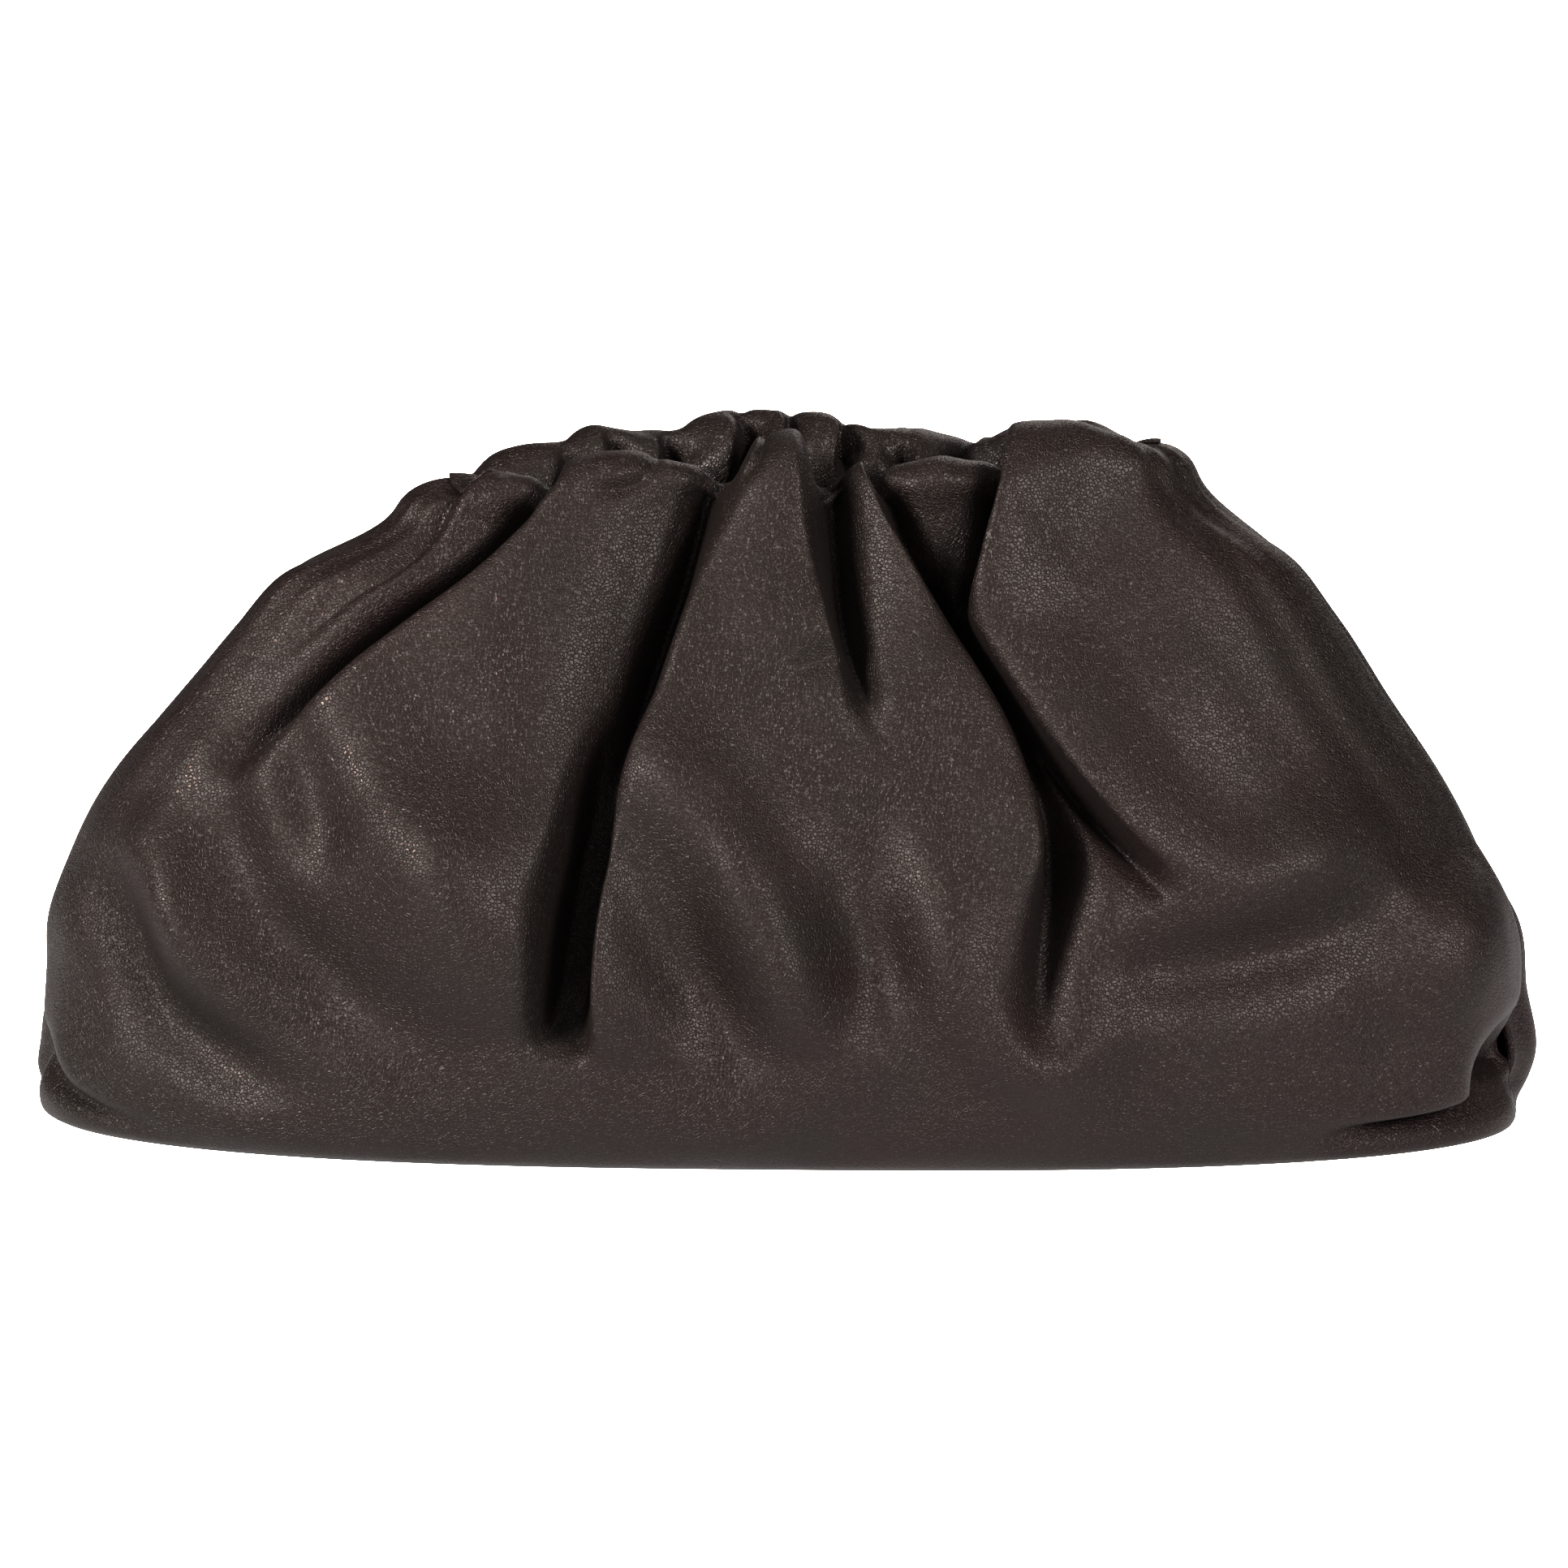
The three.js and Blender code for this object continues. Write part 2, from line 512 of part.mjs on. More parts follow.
function addMesh(group, name, geometry, material) {
  const mesh = new THREE.Mesh(geometry, material.clone());
  mesh.name = name;
  group.add(mesh);
}

function buildBag() {
  const [front, back] = [
    [frontLayout, frontColumns],
    [backLayout, backColumns],
  ].map(([layout, columns]) => {
    const grid = panelGrid(layout, columns);
    return { grid, normals: gridNormals(grid) };
  });
  const bag = new THREE.Group();
  addMesh(bag, "front_panel", panelGeometry(front.grid, front.normals), brownLeather);
  addMesh(bag, "back_panel", panelGeometry(back.grid, back.normals), brownLeather);
  addMesh(bag, "base_panel", baseGeometry(front.grid, back.grid), brownLeather);
  addMesh(bag, "seam_patch_left", patchGeometry(back, front), brownLeather);
  addMesh(bag, "seam_patch_right", patchGeometry(front, back), brownLeather);
  addMesh(bag, "mouth_frame", frameGeometry(front, back), frameSteel);
  return bag;
}

export default buildBag();
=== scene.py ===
import math

import bpy
import numpy as np
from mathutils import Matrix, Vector, noise


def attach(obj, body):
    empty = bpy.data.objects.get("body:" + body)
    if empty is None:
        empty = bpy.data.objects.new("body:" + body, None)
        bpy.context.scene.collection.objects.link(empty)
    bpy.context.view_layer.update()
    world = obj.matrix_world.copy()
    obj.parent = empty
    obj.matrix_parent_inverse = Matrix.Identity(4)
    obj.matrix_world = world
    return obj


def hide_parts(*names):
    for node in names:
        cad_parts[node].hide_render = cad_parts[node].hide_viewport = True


bl_info = {
    "name": "Gathered leather pouch",
    "version": (1, 0, 0),
    "blender": (4, 5, 0),
    "location": "3D View > Sidebar > Pouch",
    "description": "Builds the folded leather of a gathered pouch bag around its packed solids",
    "category": "Object",
}

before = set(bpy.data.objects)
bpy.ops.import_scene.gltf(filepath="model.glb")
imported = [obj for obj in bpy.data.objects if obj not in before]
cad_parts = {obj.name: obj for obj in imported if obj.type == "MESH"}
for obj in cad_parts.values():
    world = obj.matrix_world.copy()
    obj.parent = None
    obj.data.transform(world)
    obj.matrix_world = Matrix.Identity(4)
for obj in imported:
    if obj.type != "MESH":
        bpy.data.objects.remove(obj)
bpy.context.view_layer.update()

FRONT = -1
BACK = 1

# Steps of the leather's mesh: across a panel, up its wall, over its lip and down its hem.
PANEL_COLUMNS = 330
WALL_ROWS = 96
ROLL_ROWS = 34
HEM_ROWS = 10
COLUMN_WARP = 0.26
PATH_STEPS = 48

# Wall of the bag from the floor to the lip's shoulder: rise is a share of the shoulder's height,
# and left, right and face say how far out the wall is, from 0 under the lip to 1 at the belly.
WALL_SECTIONS = [
    {"rise": 0.0, "left": 0.95, "right": 0.93, "face": 0.76},
    {"rise": 0.012, "left": 0.98, "right": 0.945, "face": 0.85},
    {"rise": 0.045, "left": 1.0, "right": 0.975, "face": 0.93},
    {"rise": 0.1, "left": 0.985, "right": 0.995, "face": 0.985},
    {"rise": 0.19, "left": 0.975, "right": 0.95, "face": 1.0},
    {"rise": 0.3, "left": 0.96, "right": 0.93, "face": 0.98},
    {"rise": 0.42, "left": 0.902, "right": 0.835, "face": 0.9},
    {"rise": 0.54, "left": 0.8, "right": 0.714, "face": 0.765},
    {"rise": 0.66, "left": 0.63, "right": 0.555, "face": 0.585},
    {"rise": 0.77, "left": 0.487, "right": 0.435, "face": 0.395},
    {"rise": 0.87, "left": 0.34, "right": 0.3, "face": 0.225},
    {"rise": 0.94, "left": 0.2, "right": 0.145, "face": 0.09},
    {"rise": 1.0, "left": 0.0, "right": 0.0, "face": 0.0},
]

# How far each lip stands over the crest height, as a share of the lip's roll, from left to right.
LIP_SECTIONS = [
    {"front": 0.3, "back": 0.05},
    {"front": -0.3, "back": 0.0},
    {"front": -0.15, "back": -0.12},
    {"front": -0.16, "back": 0.21},
    {"front": -0.2, "back": 0.0},
    {"front": -0.3, "back": -0.4},
    {"front": 0.2, "back": 0.1},
    {"front": 0.5, "back": 0.2},
]

# Folds from the mouth outwards. path holds (across, up, deep) rows: across and up are shares of
# half the belly's width and of the crest height along the leather, over 1 on top of the lip, and
# deep is the share of the fold's depth that it has there. depth, crisp and soft are shares of the
# fold depth, of the width of its steep side and of its gentle side's. floor is how wide the crease
# is at its bottom, as a share of the steep side's width. ridge is the steep side seen from outside
# (1 right, -1 left), lift how high its ridge stands over the leather around it and lap how far it
# leans over the crease, both as shares of depth.
FOLD_COLUMNS = ("ridge", "depth", "crisp", "soft", "floor", "lift", "lap", "path")
FRONT_FOLDS = {
    "long_left": (1, 1.15, 1.0, 0.9, 0, 0.2, 0.35, [
        (-0.3, 1.2, 0.15), (-0.302, 1.0, 0.4), (-0.325, 0.925, 0.85), (-0.39, 0.85, 1), (-0.485, 0.77, 1),
        (-0.565, 0.705, 0.9), (-0.64, 0.635, 0.75), (-0.705, 0.575, 0.45), (-0.75, 0.535, 0)]),
    "far_left": (1, 0.3, 1.2, 1.0, 0, 0.2, 0.3, [
        (-0.4, 1.1, 0.8), (-0.47, 0.9, 1), (-0.6, 0.76, 0.7), (-0.74, 0.65, 0)]),
    "middle_left": (1, 1.45, 1.1, 1.3, 0.35, 0.16, 0.22, [
        (-0.075, 1.2, 0.3), (-0.079, 1.0, 0.55), (-0.103, 0.905, 0.75), (-0.14, 0.79, 1), (-0.178, 0.68, 1),
        (-0.203, 0.605, 0.85), (-0.228, 0.536, 0.4), (-0.245, 0.46, 0)]),
    "middle_left_end": (1, 1.7, 0.9, 0.3, 1.8, 0.25, 0.2, [
        (-0.172, 0.68, 0), (-0.192, 0.605, 0.5), (-0.21, 0.536, 0.9), (-0.226, 0.457, 1),
        (-0.239, 0.387, 1), (-0.246, 0.318, 1), (-0.25, 0.26, 0.9), (-0.254, 0.215, 0.6),
        (-0.26, 0.165, 0)]),
    "middle_right": (-1, 1.2, 0.95, 1.0, 0.3, 0.2, 0.3, [
        (0.045, 1.2, 0.5), (0.047, 1.03, 0.9), (0.05, 0.96, 1), (0.058, 0.88, 1), (0.075, 0.79, 1),
        (0.1, 0.71, 0.7), (0.125, 0.64, 0)]),
    "strip_edge": (-1, 1.15, 0.9, 0.8, 0, 0.2, 0.25, [
        (0.12, 1.2, 0.3), (0.122, 1.03, 0.6), (0.13, 0.965, 0.8), (0.165, 0.89, 1), (0.215, 0.81, 1),
        (0.26, 0.735, 1), (0.305, 0.66, 1), (0.34, 0.575, 1), (0.36, 0.49, 0.6), (0.367, 0.41, 0)]),
    "strip_end": (-1, 1.35, 1.05, 0.7, 0.5, 0.2, 0.2, [
        (0.34, 0.575, 0), (0.352, 0.51, 0.7), (0.36, 0.455, 1), (0.356, 0.39, 0.8), (0.347, 0.32, 0.5),
        (0.342, 0.25, 0.25), (0.345, 0.16, 0)]),
    "right_panel_edge": (1, 1.05, 0.9, 0.8, 0, 0.45, 0.5, [
        (0.28, 1.2, 0.4), (0.285, 1.03, 0.6), (0.283, 0.94, 1), (0.262, 0.85, 1), (0.24, 0.785, 0.85),
        (0.262, 0.73, 0.7), (0.31, 0.655, 0.7), (0.36, 0.585, 0.75), (0.41, 0.52, 0.8), (0.46, 0.46, 0.65),
        (0.495, 0.42, 0.35), (0.515, 0.39, 0)]),
    "cheek_crease": (1, 0.26, 0.7, 0.5, 0, 0.6, 0.25, [
        (0.0, 0.685, 0), (0.025, 0.705, 0.7), (0.06, 0.71, 1), (0.095, 0.69, 0.9), (0.125, 0.64, 0.6),
        (0.155, 0.59, 0)]),
    "lid": (-1, 0.26, 0.7, 0.35, 0, 0.3, 0.35, [
        (-0.16, 1.18, 0.4), (-0.163, 1.04, 0.7), (-0.167, 0.985, 0.9), (-0.185, 0.95, 1),
        (-0.215, 0.935, 0.9), (-0.25, 0.935, 0)]),
    "eyelet": (-1, 0.24, 0.6, 0.25, 0, 0.3, 0.25, [
        (-0.03, 1.18, 0.4), (-0.033, 1.02, 0.8), (-0.042, 0.97, 1), (-0.06, 0.955, 0.7),
        (-0.075, 0.955, 0)]),
    "under_lobe": (-1, 0.75, 0.8, 0.8, 0.3, 0.2, 0.4, [
        (0.99, 0.09, 0.9), (0.95, 0.072, 1), (0.88, 0.055, 1), (0.8, 0.042, 0.7), (0.7, 0.03, 0)]),
    "left_corner": (1, 0.3, 0.8, 0.3, 0, 0.3, 0.4, [
        (-0.99, 0.12, 0.8), (-0.96, 0.07, 1), (-0.915, 0.045, 1), (-0.86, 0.03, 0.5), (-0.8, 0.02, 0)]),
}
BACK_FOLDS = {
    "back_far_left": (1, 0.4, 1.1, 1.0, 0, 0.2, 0.3, [
        (-0.4, 1.06, 0), (-0.44, 0.95, 0.5), (-0.55, 0.82, 0.8), (-0.7, 0.66, 0)]),
    "back_left": (1, 0.75, 1.0, 1.1, 0, 0.2, 0.35, [
        (-0.27, 1.06, 0), (-0.3, 0.96, 0.35), (-0.38, 0.8, 1), (-0.47, 0.6, 0.8), (-0.53, 0.43, 0)]),
    "back_middle_left": (-1, 0.9, 0.95, 1.1, 0, 0.2, 0.35, [
        (-0.11, 1.06, 0), (-0.13, 0.96, 0.35), (-0.17, 0.78, 1), (-0.2, 0.55, 0.8), (-0.2, 0.33, 0)]),
    "back_middle": (1, 0.6, 0.9, 0.8, 0, 0.2, 0.35, [
        (0.02, 1.06, 0), (0.02, 0.96, 0.35), (0.04, 0.8, 1), (0.05, 0.64, 0)]),
    "back_middle_right": (-1, 0.9, 1.0, 1.1, 0, 0.2, 0.35, [
        (0.14, 1.06, 0), (0.16, 0.96, 0.35), (0.22, 0.76, 1), (0.29, 0.52, 0.7), (0.3, 0.28, 0)]),
    "back_right": (-1, 0.75, 1.0, 1.0, 0, 0.2, 0.35, [
        (0.27, 1.06, 0), (0.31, 0.96, 0.35), (0.4, 0.78, 1), (0.52, 0.58, 0.7), (0.61, 0.4, 0)]),
    "back_far_right": (-1, 0.4, 1.1, 1.0, 0, 0.2, 0.3, [
        (0.38, 1.06, 0), (0.43, 0.95, 0.5), (0.56, 0.8, 0.8), (0.7, 0.66, 0)]),
}

# Soft valleys (depth over 0) and soft ridges (under 0) along a path, with shares as for the folds.
SWALE_COLUMNS = ("depth", "width", "path")
FRONT_SWALES = {
    "lip_pocket": (0.4, 0.3, [
        (0.215, 0.965, 0), (0.218, 0.92, 0.6), (0.222, 0.87, 1), (0.23, 0.82, 1), (0.238, 0.77, 0.6),
        (0.25, 0.72, 0)]),
    "centre_left": (0.5, 0.42, [
        (-0.155, 0.6, 0.4), (-0.165, 0.49, 1), (-0.14, 0.375, 1), (-0.08, 0.25, 0.9), (-0.01, 0.14, 0)]),
    "centre_puff": (-0.6, 0.5, [
        (-0.09, 0.54, 0.6), (-0.03, 0.4, 1), (0.02, 0.28, 1), (0.03, 0.17, 0)]),
    "centre_right": (0.5, 0.5, [
        (0.1, 0.56, 0), (0.11, 0.42, 0.8), (0.13, 0.3, 1), (0.1, 0.18, 0)]),
    "right_hook": (-0.4, 0.42, [
        (0.18, 0.46, 0.3), (0.21, 0.34, 0.8), (0.27, 0.22, 1), (0.36, 0.16, 1), (0.44, 0.22, 0.6),
        (0.5, 0.3, 0)]),
    "right_hollow": (0.4, 0.42, [
        (0.42, 0.22, 0), (0.5, 0.29, 0.8), (0.62, 0.315, 1), (0.72, 0.35, 0.8), (0.8, 0.4, 0)]),
    "right_puff": (-0.5, 0.6, [
        (0.5, 0.4, 0), (0.6, 0.4, 1), (0.7, 0.43, 1), (0.8, 0.5, 0)]),
    "right_edge": (-0.41, 0.45, [
        (0.86, 0.42, 0), (0.875, 0.32, 1), (0.87, 0.2, 0.8), (0.85, 0.1, 0)]),
    "left_dimple": (0.3, 0.3, [
        (-0.605, 0.62, 0), (-0.605, 0.54, 1), (-0.595, 0.46, 0.8), (-0.58, 0.4, 0)]),
    "left_puff": (-0.65, 0.75, [
        (-0.52, 0.55, 0.4), (-0.45, 0.45, 1), (-0.38, 0.33, 0.8), (-0.34, 0.2, 0)]),
    "left_sweep": (0.45, 0.5, [
        (-0.72, 0.56, 0), (-0.73, 0.47, 0.8), (-0.69, 0.37, 1), (-0.6, 0.27, 1), (-0.48, 0.19, 0.6),
        (-0.36, 0.14, 0)]),
    "left_edge": (0.51, 0.36, [
        (-0.87, 0.42, 0), (-0.86, 0.3, 1), (-0.81, 0.2, 1), (-0.7, 0.13, 0.7), (-0.58, 0.1, 0)]),
    "left_bulge": (-0.48, 0.4, [
        (-0.83, 0.5, 0), (-0.8, 0.38, 1), (-0.74, 0.28, 0.8), (-0.64, 0.2, 0)]),
}
BACK_SWALES = {
    "back_hollow_left": (0.26, 0.7, [
        (-0.4, 0.5, 0), (-0.36, 0.36, 1), (-0.28, 0.24, 0.8), (-0.2, 0.14, 0)]),
    "back_puff": (-0.24, 0.7, [
        (0.06, 0.56, 0), (0.04, 0.4, 1), (0.08, 0.26, 0.8), (0.1, 0.14, 0)]),
    "back_hollow_right": (0.28, 0.6, [
        (0.34, 0.3, 0), (0.46, 0.3, 1), (0.58, 0.34, 0.8), (0.7, 0.42, 0)]),
    "back_edge": (-0.24, 0.6, [
        (-0.72, 0.56, 0), (-0.66, 0.42, 1), (-0.6, 0.3, 0.8), (-0.52, 0.18, 0)]),
}

# Small gathers over each lip, as seen from the front: across is a share of half the slit's width
# from its middle, depth one of the fold depth, ridge the steep side, soft the width of the gentle
# side as a share of a fold's, and rim the share of the depth that is left on top of the lip.
FRONT_GATHERS = [(-0.97, 0.3, -1, 0.35, 0.4), (-0.78, 0.2, 1, 0.35, 0.4)]
BACK_GATHERS = [
    (-0.85, 0.9, -1, 0.3, 0.2), (-0.69, 1.05, -1, 0.4, 0.15), (-0.51, 1.25, -1, 0.55, 0.12),
    (-0.26, 1.25, -1, 0.5, 0.2), (-0.09, 0.8, -1, 0.2, 0.2), (0.09, 1.3, -1, 0.6, 0.15),
    (0.31, 1.0, 1, 0.55, 0.12), (0.5, 1.1, 1, 0.25, 0.8), (0.72, 1.1, -1, 0.45, 0.1),
]

# Dents beside the side seams: side and panel say which, along and tall are shares of the crest
# height, out and wide of half the belly's depth, and depth one of the fold depth.
DENT_COLUMNS = ("side", "panel", "along", "out", "tall", "wide", "depth")
SIDE_DENTS = [
    (1, FRONT, 0.115, 0.25, 0.055, 0.2, 1.7),
    (1, FRONT, 0.27, 0.34, 0.12, 0.2, -0.2),
    (1, BACK, 0.2, 0.22, 0.12, 0.3, -0.14),
    (-1, BACK, 0.08, 0.2, 0.07, 0.3, -0.12),
    (-1, FRONT, 0.2, 0.3, 0.08, 0.3, 0.14),
]


def length_property(label, description, metres):
    """A length in metres that the sidebar shows."""
    return bpy.props.FloatProperty(
        name=label, description=description, default=metres, min=0.0, subtype="DISTANCE", unit="LENGTH")


def srgb(code):
    """Linear colour of an sRGB hex code such as 3b3431."""
    values = [int(code[i:i + 2], 16) / 255 for i in (0, 2, 4)]
    return [v / 12.92 if v <= 0.04045 else ((v + 0.055) / 1.055) ** 2.4 for v in values]


def colour_property(label, description, code):
    """A colour that the sidebar shows, given as an sRGB hex code."""
    return bpy.props.FloatVectorProperty(
        name=label, description=description, default=srgb(code), size=3, min=0.0, max=1.0, subtype="COLOR")


class PouchSizes(bpy.types.PropertyGroup):
    """Sizes of the bag and of its folds."""

    belly_width: length_property("Belly width", "Width of the bag at its widest", 0.386)
    belly_depth: length_property("Belly depth", "Depth of the bag at its deepest", 0.15)
    crest_height: length_property("Crest height", "Height of the lips over the floor", 0.178)
    leather_wall: length_property("Leather", "Thickness of the leather", 0.002)
    patch_thickness: length_property("Patch", "Thickness of the small patches at the seams", 0.001)
    slit_width: length_property("Slit width", "Width of the mouth between the lips", 0.15)
    slit_gap: length_property("Slit gap", "Gap between the two lips", 0.009)
    slit_shift: length_property("Slit shift", "How far the mouth sits to the right", 0.008)
    lip_width: length_property("Lip width", "Width of the two lips together", 0.206)
    lip_shift: length_property("Lip shift", "How far the lips sit to the right", 0.003)
    lip_thickness: length_property("Lip thickness", "How thick each lip's roll is", 0.024)
    lip_roll: length_property("Lip roll", "How high the lip's round top is", 0.012)
    crest_drop_left: length_property("Left drop", "How far the lips fall to the left end", 0.008)
    crest_drop_right: length_property("Right drop", "How far the lips fall to the right end", 0.003)
    lip_sag: length_property("Lip sag", "How far the soft ends of the lips sag", 0.011)
    hem_drop: length_property("Hem drop", "How far the hem hangs inside the mouth", 0.02)
    cut_width: length_property("Cut width", "Width that each panel was cut to before it was gathered", 0.44)
    cut_length: length_property("Cut length", "Length that each panel was cut to, up to its hem", 0.23)
    sewn_gap: length_property("Sewn gap", "Gap between the two panels at their seams", 0.0003)
    fold_depth: length_property("Fold depth", "Depth that the shares of the fold tables are taken of", 0.016)
    fold_crisp: length_property("Fold edge", "Width of a fold's steep side", 0.0052)
    fold_soft: length_property("Fold side", "Width of a fold's gentle side", 0.024)
    groove_depth: length_property("Seam groove", "How deep the side seams pull in", 0.006)
    groove_width: length_property("Seam groove width", "Half width of the groove along a side seam", 0.008)
    grain: length_property("Grain", "Size of a cell of the leather's grain", 0.0009)


class PouchColours(bpy.types.PropertyGroup):
    """Colours of the bag and its stage."""

    leather: colour_property("Leather", "Main colour of the leather", "1e120d")
    leather_warm: colour_property("Warm leather", "Redder parts of the leather", "22120e")
    leather_cool: colour_property("Cool leather", "Greener parts of the leather", "1c130e")
    steel: colour_property("Steel", "Frame in the mouth", "8a8580")
    floor: colour_property("Floor", "Floor and backdrop", "b2b2b2")


def millimetres(value):
    """A length of the sidebar, in metres, as millimetres."""
    return value * 1000


def smooth(value):
    """Smooth step from 0 to 1."""
    share = np.clip(value, 0, 1)
    return share * share * (3 - 2 * share)


def bump(distance, width):
    """Bell curve that is 1 at no distance."""
    return np.exp(-((distance / width) ** 2))


def table_value(rows, column, place):
    """Smooth value of one column of a table, at places from 0 (first row) to 1 (last row)."""
    values = np.array([row[column] for row in rows])
    last = len(values) - 1
    at = np.clip(place, 0, 1) * last
    row = np.minimum(np.floor(at).astype(int), last - 1)
    a, b, c, d = (values[np.clip(row + k, 0, last)] for k in (-1, 0, 1, 2))
    t = at - row
    return b + 0.5 * t * (c - a + t * (2 * a - 5 * b + 4 * c - d + t * (3 * (b - c) + d - a)))


def spline(points, steps):
    """Points of a smooth curve through the given ones."""
    places = np.linspace(0, 1, steps + 1)
    return np.stack([table_value(points, column, places) for column in range(len(points[0]))], axis=1)


def loop_points(half_width, half_depth, squareness, shift, angle):
    """Points of a rounded loop seen from above, at the given angles."""
    c, s = np.cos(angle), np.sin(angle)
    reach = (np.abs(c) ** squareness + np.abs(s) ** squareness) ** (-1 / squareness)
    return np.stack([shift + half_width * reach * c, half_depth * reach * s], axis=-1)


BELLY_SQUARENESS = 2.35
LIP_SQUARENESS = 2.6
SLIT_SQUARENESS = 4.0
REST_BAND = 9.0
LIP_FADE = 0.25
GROOVE_FADE = 0.25
SAG_FROM = 0.86
SHOULDER_EASE = 0.12
SHOULDER_SMOOTHING = 24

# How far the lips' ends sag, from left to right: share of the sag, where it starts as a share of half
# the bag's length from its middle, and over what share it comes in.
LEFT_SAG = (0.8, 0.5, 0.4)
RIGHT_SAG = (0.55, 0.68, 0.25)

# How deep a gather is inside the lip: up and share of its depth. Outside it: how far its path has
# turned outwards, up and share of the depth on top of the lip.
GATHER_INSIDE = [(1.3, 1.0), (1.16, 1.0), (1.09, 0.95), (1.065, 0.5), (1.045, 0.0)]
GATHER_OUTSIDE = [(1.03, 1.01, 0.4), (1.06, 0.94, 0)]
GATHER_CRISP = 0.45
GATHER_LIFT = 0.05
GATHER_LAP = 0.15

# How the columns are drawn together at folds.
CROWDING = 2.2
CROWD_DEPTH = 5.0
CROWD_WIDTH = 11.0
CROWD_SPAN = 25.0
CROWD_SMOOTHING = 30

# Form of a fold: how its gentle side rolls off, how wide its ridge is and how folds join.
ROLL_OFF = 1.8
PINCH = 0.45
PINCH_WIDTH = 1.2
EDGE_WIDTH = 2.0
RIDGE_FALL = 2.0
WALL_POWER = 2.2
VALLEY_BLEND = 3.0
DENT_POWER = 1.6
SOFTENING = 2
SOFTENING_STEP = 0.5

# Where the small patches lie: stages of the lip that they cover, and how far they reach from the
# seam, in millimetres, on the back and on the front panel.
PATCH_FROM = 1.45
PATCH_TO = 1.9
PATCHES = {
    "seam_patch_left": {"side": -1, "back": 5.0, "front": 9.0},
    "seam_patch_right": {"side": 1, "back": 9.0, "front": 2.0},
}
PATCH_LIFT = 0.35

# Unevenness of the leather, in millimetres.
LUMP_SIZE = 34.0
LUMP_HEIGHT = 2.2
RAY_COUNT = 9.0
RAY_LENGTH = 70.0
RAY_HEIGHT = 1.1
RAY_AT_FLOOR = 0.35

# How far apart the two panels' lumps and creases are taken from the noise, so that they differ.
LUMP_SHIFT = 300
RAY_SHIFT = 9.0


